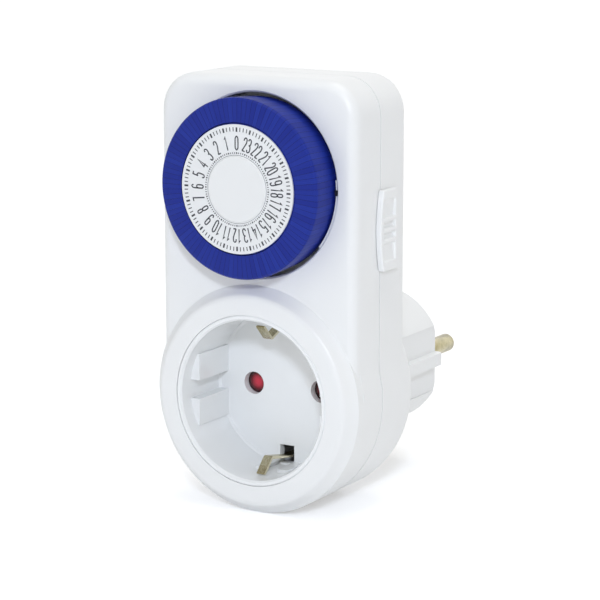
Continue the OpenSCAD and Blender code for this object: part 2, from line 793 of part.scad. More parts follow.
module gear_second() {
    color("#E4E0CF") difference() {
        union() {
            gear(wheel_mod, wheel_teeth, layer_2_y, layer_2_y + gear_t, SECOND, FIRST_ANG + 180 / wheel_teeth);
            gear(clutch_mod, driver_teeth, layer_1_y, layer_2_y + 0.1, SECOND, SECOND_ANG + 180);
        }
        bar_y(arbor_r + running, layer_1_y - 1, plate_y, SECOND[0], SECOND[1]);
    }
}

// The wheel slips on the pinion's shaft when the dial is turned by hand
module clutch_wheel() {
    color("#E4E0CF") difference() {
        gear(clutch_mod, clutch_teeth, layer_1_y, layer_1_y + gear_t, CLUTCH, SECOND_ANG + 180 / clutch_teeth);
        bar_y(clutch_shaft_r + running, layer_1_y - 1, plate_y, CLUTCH[0], CLUTCH[1]);
    }
}

module clutch_pinion() {
    color("#C9A548") {
        gear(dial_mod, pinion_teeth, flange_back_y + 0.4, ring_back_y + 0.2, CLUTCH, -90);
        bar_y(clutch_shaft_r, ring_back_y + 0.1, plate_y + plate_t - 0.1, CLUTCH[0], CLUTCH[1]);
    }
}

// ---------- dial ----------

// Drum of the dial: front plate, hub, spokes, slotted flange and internal gear
module dial_carrier() {
    ring_r = dial_mod * ring_teeth / 2;
    color("#20368E") difference() {
        union() {
            bar_y(drum_r, carrier_front_y, carrier_front_y + front_plate_t - 1, 0, dial_z);
            bar_y(hub_r, carrier_front_y, well_y - 0.6, 0, dial_z);
            difference() {
                bar_y(drum_r, carrier_front_y, flange_back_y, 0, dial_z);
                bar_y(drum_in_r, carrier_front_y + 1, flange_back_y + 1, 0, dial_z);
            }
            slab(flange_back_y - flange_t, flange_back_y) translate([0, dial_z]) slotted_ring();
            slab(flange_back_y - flange_t, ring_back_y) translate([0, dial_z]) difference() {
                circle(r = shank_in_r - 0.35);
                rotate(-90) polygon(gear_outline(dial_mod, ring_teeth, 0.62, 1.15, 0.8));
            }
            // Six spokes between hub and drum
            for (a = [0:60:300]) translate([0, 0, dial_z]) rotate([0, a, 0])
                block([hub_r - 0.5, carrier_front_y + 1, -0.6], [drum_in_r + 0.5, flange_back_y - flange_t, 0.6]);
        }
        bar_y(post_r + running, carrier_front_y - 1, well_y, 0, dial_z);
        bar_y(screw_head_r + 0.3, carrier_front_y - 1, post_end_y + seam, 0, dial_z);
    }
}

// Ring with one guide slot for each tappet
module slotted_ring() {
    slot_half = shank_half() + 0.06;
    difference() {
        circle(r = flange_r);
        circle(r = drum_in_r);
        for (k = [0:tappet_n - 1]) rotate((k + 0.5) * tappet_pitch)
            translate([shank_in_r - slip, -slot_half]) square([shank_out_r - shank_in_r + 2 * slip, 2 * slot_half]);
    }
}

function shank_half() = 0.33;

// One tappet: a cap, a skirt outside the flange and a shank through its slot
module tappet(k) {
    span = tappet_pitch - tappet_gap;
    start = -(k + 1) * tappet_pitch + tappet_gap / 2 - 90;
    nose = 1.1;
    translate([0, 0, dial_z]) {
        rotate([-90, 0, 0]) rotate([0, 0, start]) rotate_extrude(angle = span) polygon(concat(
            [[tappet_in_r, tappet_front_y]],
            arc(tappet_r - nose, tappet_front_y + nose, nose, -90, 0, 3),
            [[tappet_r, skirt_end_y], [skirt_r, skirt_end_y],
             [skirt_r, tappet_front_y + tappet_cap_t], [tappet_in_r, tappet_front_y + tappet_cap_t]]));
        rotate([0, -90 - (k + 0.5) * tappet_pitch, 0])
            block([shank_in_r, tappet_front_y + tappet_cap_t - 0.2, -shank_half()],
                  [shank_out_r, shank_end_y, shank_half()]);
    }
}

// The eight tappets of two hours; hours run anticlockwise from the top
module tappet_group(g) {
    color("#243A9B") for (i = [0:tappets_per_group - 1]) tappet(g * tappets_per_group + i);
}

module number_disc() {
    color("#EEF0F3") bar_y(disc_r, disc_y, disc_y + disc_t, 0, dial_z);
}

module dial_cap() {
    color("#DCE0E6") turned([[0, disc_y - cap_t], [cap_r - 0.3, disc_y - cap_t], [cap_r, disc_y], [0, disc_y]], 0, dial_z);
}

module dial_screw() {
    color("#AEB3B8") difference() {
        union() {
            bar_y(screw_head_r, post_end_y - screw_head_t, post_end_y, 0, dial_z);
            bar_y(screw_r, post_end_y - 0.2, post_end_y + 7, 0, dial_z);
        }
        for (a = [0, 90]) translate([0, post_end_y - screw_head_t, dial_z]) rotate([0, a, 0])
            cube([4.4, 1.2, 0.8], center = true);
    }
}

// Small nub on the well's wall, clear of the tappets, that carries the pointer mark
module pointer_nub() {
    block([tappet_r + 0.35, front_y + rim_c, dial_z - 1.3], [well_r + 0.5, front_y + 2, dial_z + 2.6]);
}

// Black mark across the well's rim that shows the present time
module time_pointer() {
    color("#15171A") block([tappet_r + 0.3, front_y + 0.1, dial_z - 0.95],
                           [well_r + rim_c, front_y + 1.6, dial_z + 0.35]);
}

// ---------- override slide and screws ----------

// Side view of the finger pad, bowed towards the front
module pad_outline(y0) {
    bow_r = 36;
    intersection() {
        translate([y0, slide_z - slide_h / 2]) square([slide_w, slide_h]);
        translate([y0 + bow_r, slide_z]) circle(r = bow_r, $fn = 200);
    }
}

module override_slide() {
    x0 = body_w / 2 + slip;
    y0 = part_y - 2.4;
    thick = 1.5;
    field = 0.9;
    rib_r = 0.7;
    color("#E6EAEF") {
        // Pad with a recessed field inside a raised border
        difference() {
            translate([x0, 0, 0]) rotate([90, 0, 90]) linear_extrude(height = thick) pad_outline(y0);
            block([x0 + thick - field, y0 + 1.4, slide_z - slide_h / 2 + 2.3],
                  [x0 + FAR, y0 + slide_w - 0.8, slide_z + slide_h / 2 - 2.3]);
        }
        // Three grip ribs
        for (k = [-1:1]) translate([x0 + thick - rib_r, y0 + 1.2, slide_z + k * 2.5]) rotate([-90, 0, 0])
            cylinder(h = slide_w - 1.8, r = rib_r);
        // Stem through the side wall and foot behind it
        block([body_w / 2 - wall - 0.3 - slip - 1.4, part_y + slip, slide_z - 4], [x0 + 0.1, part_y + 4.4, slide_z + 4]);
        block([body_w / 2 - wall - 0.3 - slip - 1.4, part_y + lip_h + 0.3, slide_z - 5.5],
              [body_w / 2 - wall - 0.3 - slip, part_y + 6.4, slide_z + 5.5]);
    }
}

module cover_screws() {
    head_y = rear_y - screw_sink;
    color("#AEB3B8") for (p = SCREWS) difference() {
        union() {
            bar_y(screw_r, part_y - 7, head_y + 0.2, p[0], p[1]);
            bar_y(screw_head_side, head_y, head_y + 1.2, p[0], p[1]);
            cone_y(screw_head_side, screw_head_side - 0.7, head_y + 1.2, head_y + 2, p[0], p[1]);
        }
        for (a = [0, 90]) translate([p[0], head_y + 2, p[1]]) rotate([0, a, 0])
            cube([3.2, 1.6, 0.7], center = true);
    }
}

// ---------- nodes ----------

front_cover();
rear_cover();
socket_insert();
pin_shutter();
shutter_spring();
socket_earth_clips();
plug_earth_strap();
plug_pin(pin_pitch / 2);  // plug_pin_live
plug_pin(-pin_pitch / 2);  // plug_pin_neutral
live_socket_contact();
neutral_socket_contact();
live_feed_strip();
fixed_contact();
contact_spring();
switch_lever();
mechanism_plate();
gear_arbors();
motor_case();
motor_coil();
motor_pinion();
gear_first();
gear_second();
clutch_wheel();
clutch_pinion();
dial_carrier();
number_disc();
dial_cap();
dial_screw();
time_pointer();
override_slide();
cover_screws();
for (g = [0:tappet_groups - 1])
    tappet_group(g);
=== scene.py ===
from math import cos, pi, radians, sin, tau

import bmesh
import bpy
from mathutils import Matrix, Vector


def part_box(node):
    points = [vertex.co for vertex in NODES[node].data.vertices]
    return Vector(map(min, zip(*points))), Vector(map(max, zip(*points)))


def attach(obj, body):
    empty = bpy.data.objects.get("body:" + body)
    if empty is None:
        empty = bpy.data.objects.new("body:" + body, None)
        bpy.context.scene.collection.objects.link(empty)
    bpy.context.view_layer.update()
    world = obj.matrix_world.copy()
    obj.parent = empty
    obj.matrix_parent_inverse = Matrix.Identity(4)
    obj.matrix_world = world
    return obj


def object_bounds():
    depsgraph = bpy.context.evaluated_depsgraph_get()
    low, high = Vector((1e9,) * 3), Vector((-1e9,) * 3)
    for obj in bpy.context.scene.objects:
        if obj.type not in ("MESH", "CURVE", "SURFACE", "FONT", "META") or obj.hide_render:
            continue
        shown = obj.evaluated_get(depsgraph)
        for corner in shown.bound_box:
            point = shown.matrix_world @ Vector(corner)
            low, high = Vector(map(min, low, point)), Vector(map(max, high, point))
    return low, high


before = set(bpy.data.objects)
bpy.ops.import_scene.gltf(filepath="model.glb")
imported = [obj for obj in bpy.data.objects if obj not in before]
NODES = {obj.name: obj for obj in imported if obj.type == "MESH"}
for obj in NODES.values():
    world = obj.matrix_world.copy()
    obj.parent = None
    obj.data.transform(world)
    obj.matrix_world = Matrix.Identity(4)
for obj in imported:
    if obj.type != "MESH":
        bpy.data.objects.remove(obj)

bl_info = {
    "name": "Plug-in timer switch",
    "version": (1, 0, 0),
    "blender": (4, 5, 0),
    "location": "View3D > Sidebar > Timer Switch",
    "description": "Finishes, dial print and studio of a plug-in timer switch",
    "category": "Object",
}

MM = 0.001
FAR = 0.1       # in metres, beyond the part on every side
TAPPETS = 96    # one for each quarter of an hour
HOURS = 24
CAD_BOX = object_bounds()

# The dial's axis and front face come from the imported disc
DISC_LOW, DISC_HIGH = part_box("number_disc")
DIAL_Z = (DISC_LOW.z + DISC_HIGH.z) / 2
DISC_FRONT = DISC_LOW.y

# The tappets' front and outer radius, and the length of their skirts
TAPPET_FRONT = min(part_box(n)[0].y for n in NODES if n.startswith("tappets_"))
TAPPET_R = max(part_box(n)[1].x for n in NODES if n.startswith("tappets_"))
TAPPET_SKIRT = 10.7 * MM

# The front of the socket's collar, and behind it the middle of the groove at the covers' parting line and
# the bend of the earth clips
COLLAR_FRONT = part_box("socket_insert")[0].y
GROOVE_Y = COLLAR_FRONT + 14.825 * MM
CLIP_BEND_Y = COLLAR_FRONT + 8.5 * MM

POINTER_LOW, POINTER_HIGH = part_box("time_pointer")

# The override slide's middle height and the floor of the field that its grip ribs stand in
SLIDE_LOW, SLIDE_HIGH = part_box("override_slide")
SLIDE_Z = (SLIDE_LOW.z + SLIDE_HIGH.z) / 2
SLIDE_FIELD_X = SLIDE_HIGH.x - 0.9 * MM

# The small radius in millimetres that moulding, stamping or turning leaves on a piece's edges
RADII_MM = {"socket_insert": 0.2, "socket_earth_clips": 0.16, "plug_pin_live": 0.2,
            "plug_pin_neutral": 0.2, "pin_shutter": 0.1}

# The studio, in metres: the floor's front end, where it starts to bend up, the bend's radius, its top
FLOOR_FRONT, BEND_Y, BEND_R, BACKDROP_TOP = -3.0, 1.2, 0.8, 4.0
FLOOR_HALF_WIDTH = 4.0
BEND_STEPS = 10

# Each lamp's name, place and size in metres, power in watts and tint; all look at one point
LAMPS = (("key_softbox", (0.55, -0.98, 0.53), 0.12, 5.1, "#E9F1FF"),
         ("top_softbox", (0.1, 0.0, 1.2), 0.7, 4.4, "#FFFDF8"),
         ("left_softbox", (-0.7, -0.9, 0.35), 0.8, 1.3, "#FFFFF6"),
         ("side_softbox", (1.15, -0.25, 0.35), 0.8, 0.7, "#FFEBB8"))
LAMP_AIM = Vector((0.0, -0.045, 0.025))


# ---------- shared helpers ----------

def linear(code):
    """Linear RGBA of an sRGB hex colour such as "#E9EDF2"."""
    parts = [int(code[i:i + 2], 16) / 255 for i in (1, 3, 5)]
    return tuple(c / 12.92 if c <= 0.04045 else ((c + 0.055) / 1.055) ** 2.4 for c in parts) + (1.0,)


def add(tree, kind, inputs=None, **settings):
    """Adds a node with its settings.

    inputs maps a socket to a value, to an output of another node, or to a node, for its first output.
    """
    node = tree.nodes.new(kind)
    for name, value in settings.items():
        setattr(node, name, value)
    for socket, value in (inputs or {}).items():
        if isinstance(value, bpy.types.Node):
            value = value.outputs[0]
        if isinstance(value, bpy.types.NodeSocket):
            tree.links.new(value, node.inputs[socket])
        else:
            node.inputs[socket].default_value = value
    return node


def per_metre(size_mm):
    """Texture scale at which one cell of a pattern is size_mm across."""
    return 1000.0 / size_mm


def new_material(name):
    """An empty material, its node tree and its object coordinates."""
    material = bpy.data.materials.new(name)
    material.use_nodes = True
    tree = material.node_tree
    tree.nodes.clear()
    return material, tree, add(tree, "ShaderNodeTexCoord").outputs["Object"]


def dress(material, *names):
    """Gives CAD nodes a material."""
    for name in names:
        slots = NODES[name].data.materials
        slots.clear()
        slots.append(material)


def nodes_like(start):
    """The names of the CAD nodes that start with a word."""
    return sorted(n for n in NODES if n.startswith(start))


def dial_turn(tree, place):
    """The angle of a place round the dial, counted in tappets from the dial's right side."""
    apart = add(tree, "ShaderNodeSeparateXYZ", {"Vector": place}).outputs
    height = add(tree, "ShaderNodeMath", {0: apart["Z"], 1: DIAL_Z}, operation="SUBTRACT")
    angle = add(tree, "ShaderNodeMath", {0: height, 1: apart["X"]}, operation="ARCTAN2")
    return add(tree, "ShaderNodeMath", {0: angle, 1: TAPPETS / tau}, operation="MULTIPLY")


def off_middle(tree, turn):
    """How far a turn is from the middle of its tappet, from -0.5 to 0.5 of the tappet's width."""
    phase = add(tree, "ShaderNodeMath", {0: turn}, operation="FRACT")
    return add(tree, "ShaderNodeMath", {0: phase, 1: 0.5}, operation="SUBTRACT")


# ---------- materials ----------

def moulded_plastic(name, low, high, roughness, grain_mm=0.35, relief_mm=0.004, cloud_mm=22.0):
    """Moulded plastic: slight flow clouds, a fine eroded mould texture and a soft sheen.

    A real eroded grain of 0.02 to 0.1 mm is too fine to show, so grain_mm is coarser.
    """
    material, tree, place = new_material(name)
    clouds = add(tree, "ShaderNodeTexNoise", {"Vector": place, "Scale": per_metre(cloud_mm)})
    shade = add(tree, "ShaderNodeMix", {"Factor": clouds, 6: low, 7: high}, data_type="RGBA").outputs[2]
    grain = add(tree, "ShaderNodeTexNoise", {"Vector": place, "Scale": per_metre(grain_mm),
                                             "Detail": 3.0, "Roughness": 0.6})
    gloss = add(tree, "ShaderNodeMapRange", {"Value": grain, "To Min": roughness - 0.04,
                                             "To Max": roughness + 0.05})
    bump = add(tree, "ShaderNodeBump", {"Height": grain, "Distance": relief_mm * MM, "Strength": 0.35})
    shader = add(tree, "ShaderNodeBsdfPrincipled", {"Base Color": shade, "Roughness": gloss,
                                                    "Normal": bump, "IOR": 1.5})
    add(tree, "ShaderNodeOutputMaterial", {"Surface": shader})
    return material


def metal(name, low, high, roughness, grain_mm, relief_mm, stretch=(1, 1, 1), painted_edge_highlight=None,
          stain_mm=3.0):
    """Metal with stains and a grain that is drawn out along the way it was cut, drawn or rolled.

    The edge colour is a painted highlight on the cut edges of a strip that is cut across X.
    sheared is the colour of the edges of a strip that is cut across X.
    """
    material, tree, place = new_material(name)
    drawn = add(tree, "ShaderNodeVectorMath", {0: place, 1: stretch}, operation="MULTIPLY")
    grain = add(tree, "ShaderNodeTexNoise", {"Vector": drawn, "Scale": per_metre(grain_mm),
                                             "Detail": 4.0, "Roughness": 0.6})
    stain = add(tree, "ShaderNodeTexNoise", {"Vector": place, "Scale": per_metre(stain_mm)})
    mixed = add(tree, "ShaderNodeMath", {0: grain, 1: stain}, operation="MULTIPLY")
    tone = add(tree, "ShaderNodeMapRange", {"Value": mixed, "To Min": -0.1, "To Max": 1.6})
    shade = add(tree, "ShaderNodeMix", {"Factor": tone, 6: low, 7: high}, data_type="RGBA").outputs[2]
    # Painted highlight: faces that face along X, the strip's cut edges, are mixed towards the pale edge
    # colour
    if painted_edge_highlight:
        normal = add(tree, "ShaderNodeTexCoord").outputs["Normal"]
        sideways = add(tree, "ShaderNodeSeparateXYZ", {"Vector": normal}).outputs["X"]
        size = add(tree, "ShaderNodeMath", {0: sideways}, operation="ABSOLUTE")
        edge = add(tree, "ShaderNodeMapRange", {"Value": size, "From Min": 0.15, "From Max": 0.6})
        shade = add(tree, "ShaderNodeMix", {"Factor": edge, 6: shade, 7: painted_edge_highlight},
                    data_type="RGBA").outputs[2]
    gloss = add(tree, "ShaderNodeMapRange", {"Value": grain, "To Min": roughness - 0.06,
                                             "To Max": roughness + 0.08})
    bump = add(tree, "ShaderNodeBump", {"Height": grain, "Distance": relief_mm * MM, "Strength": 0.5})
    shader = add(tree, "ShaderNodeBsdfPrincipled", {"Base Color": shade, "Roughness": gloss,
                                                    "Normal": bump, "Metallic": 1.0})
    add(tree, "ShaderNodeOutputMaterial", {"Surface": shader})
    return material


def tappet_plastic(dark, light):
    """Matt royal blue acetal: each tappet is a shade of its own, as separate mouldings are."""
    material, tree, place = new_material("moulded_blue_acetal_tappets")
    # The size of the turn alone has no jump where the dial's left side wraps round
    turn = add(tree, "ShaderNodeMath", {0: dial_turn(tree, place)}, operation="ABSOLUTE")
    index = add(tree, "ShaderNodeMath", {0: turn}, operation="FLOOR")
    each = add(tree, "ShaderNodeTexWhiteNoise", {"W": index}, noise_dimensions="1D")
    # Streaks of the blue run outwards too, about three to a tappet
    streak = add(tree, "ShaderNodeTexNoise", {"W": turn, "Scale": 3.1, "Detail": 3.0},
                 noise_dimensions="1D")
    both = add(tree, "ShaderNodeMath", {0: each, 1: streak}, operation="MULTIPLY")
    tone = add(tree, "ShaderNodeMapRange", {"Value": both, "To Min": 0.2, "To Max": 1.1})
    shade = add(tree, "ShaderNodeMix", {"Factor": tone, 6: dark, 7: light}, data_type="RGBA").outputs[2]
    # Painted shade: a fine line at half the brightness where two tappets meet stands for the shade in the
    # hair-line gap between them
    reach = add(tree, "ShaderNodeMath", {0: off_middle(tree, turn)}, operation="ABSOLUTE")
    line = add(tree, "ShaderNodeMapRange", {"Value": reach, "From Min": 0.43, "From Max": 0.48,
                                            "To Min": 1.0, "To Max": 0.5})
    shade = add(tree, "ShaderNodeVectorMath", {0: shade, "Scale": line.outputs[0]}, operation="SCALE")
    # Draw marks of the mould run outwards along each tappet: seven on its 1.4 mm, so 0.2 mm apart
    marks = add(tree, "ShaderNodeTexNoise", {"W": turn, "Scale": 7.0}, noise_dimensions="1D")
    gloss = add(tree, "ShaderNodeMapRange", {"Value": marks, "To Min": 0.4, "To Max": 0.52})
    bump = add(tree, "ShaderNodeBump", {"Height": marks, "Distance": 0.05 * MM, "Strength": 0.5})
    # The eroded mould surface keeps most of the sheen away
    shader = add(tree, "ShaderNodeBsdfPrincipled", {"Base Color": shade, "Roughness": gloss,
                                                    "Normal": bump, "IOR": 1.48,
                                                    "Specular IOR Level": 0.22})
    add(tree, "ShaderNodeOutputMaterial", {"Surface": shader})
    return material


def shutter_plastic(edge, centre):
    """Polished red ABS, with painted shade where it lies close to the pin hole's wall."""
    material, tree, place = new_material("polished_red_abs")
    # Painted shade: ambient occlusion darkens the red towards the pin hole's wall, where the wall shades the
    # shutter
    clear = add(tree, "ShaderNodeAmbientOcclusion", {"Distance": 2.4 * MM}, samples=8).outputs["AO"]
    tone = add(tree, "ShaderNodeMapRange", {"Value": clear, "To Min": -1.5, "To Max": 1.2})
    shade = add(tree, "ShaderNodeMix", {"Factor": tone, 6: edge, 7: centre}, data_type="RGBA").outputs[2]
    # Sink ripples of the thin moulding, 0.8 mm long
    ripple = add(tree, "ShaderNodeTexNoise", {"Vector": place, "Scale": per_metre(0.8),
                                              "Detail": 3.0, "Roughness": 0.6})
    gloss = add(tree, "ShaderNodeMapRange", {"Value": ripple, "To Min": 0.08, "To Max": 0.3})
    bump = add(tree, "ShaderNodeBump", {"Height": ripple, "Distance": 0.3 * MM, "Strength": 0.9})
    shader = add(tree, "ShaderNodeBsdfPrincipled", {"Base Color": shade, "Roughness": gloss,
                                                    "Normal": bump, "IOR": 1.53})
    add(tree, "ShaderNodeOutputMaterial", {"Surface": shader})
    return material


# ---------- dial print ----------

# Centre lines of the figures in a box one wide and one high; a curve is drawn through smooth points
FIGURES = {
    "0": [(True, True, [(0.5, 1), (0.93, 0.88), (1, 0.7), (1, 0.3), (0.93, 0.12), (0.5, 0),
                        (0.07, 0.12), (0, 0.3), (0, 0.7), (0.07, 0.88)])],
    "1": [(False, False, [(0.12, 0.83), (0.55, 1), (0.55, 0)])],
    "2": [(True, False, [(0.02, 0.76), (0.1, 0.93), (0.5, 1), (0.92, 0.92), (1, 0.76), (0.93, 0.6),
                         (0.45, 0.27), (0.02, 0.0)]), (False, False, [(0.02, 0), (1, 0)])],
    "3": [(True, False, [(0.04, 0.84), (0.2, 0.97), (0.55, 1), (0.93, 0.91), (0.97, 0.72),
                         (0.8, 0.57), (0.4, 0.53)]),
          (True, False, [(0.4, 0.53), (0.85, 0.48), (1, 0.3), (0.95, 0.1), (0.52, 0), (0.15, 0.04),
                         (0, 0.18)])],
    "4": [(False, False, [(0.74, 0), (0.74, 1), (0, 0.3), (1.05, 0.3)])],
    "5": [(False, False, [(0.95, 1), (0.12, 1), (0.06, 0.54)]),
          (True, False, [(0.06, 0.54), (0.3, 0.63), (0.6, 0.63), (0.95, 0.52), (1, 0.28), (0.92, 0.08),
                         (0.5, 0), (0.12, 0.04), (0, 0.17)])],
    "6": [(True, False, [(0.95, 0.85), (0.8, 0.97), (0.5, 1), (0.1, 0.9), (0, 0.7), (0, 0.25),
                         (0.1, 0.06), (0.5, 0), (0.9, 0.06), (1, 0.28), (0.92, 0.5), (0.5, 0.58),
                         (0.1, 0.5), (0.0, 0.36)])],
    "7": [(False, False, [(0, 1), (1, 1), (0.36, 0)])],
    "8": [(True, True, [(0.5, 0.54), (0.86, 0.62), (0.95, 0.79), (0.85, 0.95), (0.5, 1), (0.15, 0.95),
                        (0.05, 0.79), (0.14, 0.62)]),
          (True, True, [(0.5, 0.54), (0.9, 0.45), (1, 0.25), (0.9, 0.06), (0.5, 0), (0.1, 0.06),
                        (0, 0.25), (0.1, 0.45)])],
}
FIGURES["9"] = [(smooth, closed, [(1 - x, 1 - y) for x, y in line]) for smooth, closed, line in FIGURES["6"]]
MITRE_LIMIT = 0.45    # the least cosine that widens a line at a corner, so that its point stays short


def through(points, closed, steps=5):
    """Points of a smooth curve that passes through the given ones."""
    n = len(points)
    out = []
    for i in range(n if closed else n - 1):
        ring = [points[(i + k) % n] if closed else points[min(max(i + k, 0), n - 1)]
                for k in (-1, 0, 1, 2)]
        a, b, c, d = (Vector(p) for p in ring)
        for s in range(steps):
            t = s / steps
            out.append(0.5 * (2 * b + (c - a) * t + (2 * a - 5 * b + 4 * c - d) * t * t
                              + (3 * b - a - 3 * c + d) * t ** 3))
    return out if closed else out + [Vector(points[-1])]


def ink_line(bm, points, width, closed, film):
    """A flat printed line along points of (x, z), closed underneath so that it is a solid film."""
    n = len(points)
    sides = []
    for i, p in enumerate(points):
        before = points[i - 1] if closed or i else p
        after = points[(i + 1) % n] if closed or i < n - 1 else p
        d0 = (p - before).normalized() if (p - before).length else (after - p).normalized()
        d1 = (after - p).normalized() if (after - p).length else d0
        across = Vector((-(d0 + d1).y, (d0 + d1).x))
        across = across.normalized() if across.length > 1e-9 else Vector((-d1.y, d1.x))
        cosine = across.dot(Vector((-d1.y, d1.x)))
        reach = min(width / 2 / max(cosine, MITRE_LIMIT), width)
        sides.append((p + across * reach, p - across * reach))
    front = DISC_FRONT - film
    rings = []
    for a, b in sides:
        rings.append([bm.verts.new((q.x, y, q.y)) for q, y in
                      ((a, front), (b, front), (b, DISC_FRONT), (a, DISC_FRONT))])
    for i in range(n if closed else n - 1):
        r, s = rings[i], rings[(i + 1) % n]
        for k in range(4):
            bm.faces.new((r[k], r[(k + 1) % 4], s[(k + 1) % 4], s[k]))
    if not closed:
        bm.faces.new(rings[0][::-1])
        bm.faces.new(rings[-1])


def around(radius, turn):
    """A point round the dial; turn runs anticlockwise from the top, as the hours do."""
    return Vector((-radius * sin(turn * tau), DIAL_Z + radius * cos(turn * tau)))


def make_piece(name, bm, material, body):
    """Turns a bmesh into a piece that rides on a body."""
    bmesh.ops.recalc_face_normals(bm, faces=bm.faces)
    mesh = bpy.data.meshes.new(name)
    bm.to_mesh(mesh)
    bm.free()
    mesh.materials.append(material)
    piece = bpy.data.objects.new(name, mesh)
    bpy.context.scene.collection.objects.link(piece)
    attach(piece, body)


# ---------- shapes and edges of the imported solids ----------

def geometry_group(name):
    """An empty geometry node group and its input node."""
    tree = bpy.data.node_groups.new(name, "GeometryNodeTree")
    tree.interface.new_socket("Geometry", in_out="INPUT", socket_type="NodeSocketGeometry")
    tree.interface.new_socket("Geometry", in_out="OUTPUT", socket_type="NodeSocketGeometry")
    return tree, add(tree, "NodeGroupInput")


def reshape(tree, *names):
    """Puts a node group on CAD nodes as a modifier."""
    for name in names:
        NODES[name].modifiers.new(tree.name, "NODES").node_group = tree


def weld_group():
    """A node group that welds a solid's facets and shades its shallow edges smooth."""
    tree, start = geometry_group("weld_and_smooth")
    weld = add(tree, "GeometryNodeMergeByDistance", {"Geometry": start, "Distance": 0.002 * MM})
    faces = add(tree, "GeometryNodeSetShadeSmooth", {"Geometry": weld, "Shade Smooth": True},
                domain="FACE")
    angle = add(tree, "GeometryNodeInputMeshEdgeAngle").outputs["Unsigned Angle"]
    shallow = add(tree, "FunctionNodeCompare", {0: angle, 1: radians(26)}, operation="LESS_THAN")
    edges = add(tree, "GeometryNodeSetShadeSmooth", {"Geometry": faces, "Shade Smooth": shallow},
                domain="EDGE")
    add(tree, "NodeGroupOutput", {0: edges})
    return tree


def polar(tree, place, centre_z):
    """The radius of a place round an axis along Y, its Y, and its way from the axis."""
    apart = add(tree, "ShaderNodeSeparateXYZ", {"Vector": place}).outputs
    height = add(tree, "ShaderNodeMath", {0: apart["Z"], 1: centre_z}, operation="SUBTRACT")
    way = add(tree, "ShaderNodeCombineXYZ", {"X": apart["X"], "Z": height})
    radius = add(tree, "ShaderNodeVectorMath", {0: way}, operation="LENGTH").outputs["Value"]
    return radius, apart["Y"], way


def tappet_group(draft, widening):
    """A node group that widens the tappets to a hair line and draws their skirts in towards the back."""
    tree, start = geometry_group("close_the_gaps")
    place = add(tree, "GeometryNodeInputPosition")
    off = off_middle(tree, dial_turn(tree, place))
    side = add(tree, "ShaderNodeMath", {0: off}, operation="SIGN")
    reach = add(tree, "ShaderNodeMath", {0: off}, operation="ABSOLUTE")
    # Only the flanks lie this near to the boundary; the guide shanks stay as they are
    flanks = add(tree, "FunctionNodeCompare", {0: reach, 1: 0.42}, operation="GREATER_THAN")
    swing = add(tree, "ShaderNodeMath", {0: side, 1: -widening}, operation="MULTIPLY")
    moved = add(tree, "ShaderNodeVectorRotate", {"Vector": place, "Center": (0, 0, DIAL_Z),
                                                 "Angle": swing}, rotation_type="Y_AXIS")
    wider = add(tree, "GeometryNodeSetPosition", {"Geometry": start, "Selection": flanks,
                                                  "Position": moved})
    # The draft: nothing at the front, all of it at the skirt's end
    radius, depth, way = polar(tree, place, DIAL_Z)
    outside = add(tree, "FunctionNodeCompare", {0: radius, 1: TAPPET_R - 0.3 * MM},
                  operation="GREATER_THAN")
    inwards = add(tree, "ShaderNodeMapRange", {
        "Value": depth, "From Min": TAPPET_FRONT, "From Max": TAPPET_FRONT + TAPPET_SKIRT,
        "To Min": 0.0, "To Max": -draft / TAPPET_R})
    drawn = add(tree, "ShaderNodeVectorMath", {0: way, "Scale": inwards.outputs[0]}, operation="SCALE")
    drafted = add(tree, "GeometryNodeSetPosition", {"Geometry": wider, "Selection": outside,
                                                    "Offset": drawn})
    add(tree, "NodeGroupOutput", {0: drafted})
    return tree


def shift_group(name, low, high, offset):
    """A node group that moves the part of a solid that lies between two corners."""
    tree, start = geometry_group(name)
    place = add(tree, "GeometryNodeInputPosition")
    above, below = (add(tree, "FunctionNodeCompare", {4: place, 5: corner}, data_type="VECTOR",
                        mode="ELEMENT", operation=side)
                    for corner, side in ((low, "GREATER_THAN"), (high, "LESS_THAN")))
    inside = add(tree, "FunctionNodeBooleanMath", {0: above, 1: below}, operation="AND")
    moved = add(tree, "GeometryNodeSetPosition", {"Geometry": start, "Selection": inside,
                                                  "Offset": offset})
    add(tree, "NodeGroupOutput", {0: moved})
    return tree


def collar_group(flat, out, growth):
    """A node group that moves the rounding of the collar's front edge outwards and makes it larger."""
    tree, start = geometry_group("collar_edge")
    place = add(tree, "GeometryNodeInputPosition")
    radius, depth, way = polar(tree, place, 0.0)
    beyond = add(tree, "FunctionNodeCompare", {0: radius, 1: flat - 0.2 * MM}, operation="GREATER_THAN")
    # The dial's post also stands this far forward, but lies outside the collar
    within = add(tree, "FunctionNodeCompare", {0: radius, 1: flat + 3 * MM}, operation="LESS_THAN")
    front = add(tree, "FunctionNodeCompare", {0: depth, 1: COLLAR_FRONT + 0.35 * MM},
                operation="LESS_THAN")
    ring = add(tree, "FunctionNodeBooleanMath", {0: beyond, 1: within}, operation="AND")
    edge = add(tree, "FunctionNodeBooleanMath", {0: ring, 1: front}, operation="AND")
    new = add(tree, "ShaderNodeMapRange", {
        "Value": radius, "From Min": flat, "From Max": flat + MM,
        "To Min": flat + out, "To Max": flat + out + growth * MM}, clamp=False)
    ratio = add(tree, "ShaderNodeMath", {0: new, 1: radius}, operation="DIVIDE")
    outward = add(tree, "ShaderNodeVectorMath", {0: way, "Scale": ratio.outputs[0]}, operation="SCALE")
    level = add(tree, "ShaderNodeMapRange", {
        "Value": depth, "From Min": COLLAR_FRONT, "From Max": COLLAR_FRONT + MM,
        "To Min": COLLAR_FRONT, "To Max": COLLAR_FRONT + growth * MM}, clamp=False)
    along = add(tree, "ShaderNodeCombineXYZ", {"Y": level})
    both = add(tree, "ShaderNodeVectorMath", {0: outward, 1: along}, operation="ADD")
    moved = add(tree, "GeometryNodeSetPosition", {"Geometry": start, "Selection": edge,
                                                  "Position": both})
    add(tree, "NodeGroupOutput", {0: moved})
    return tree


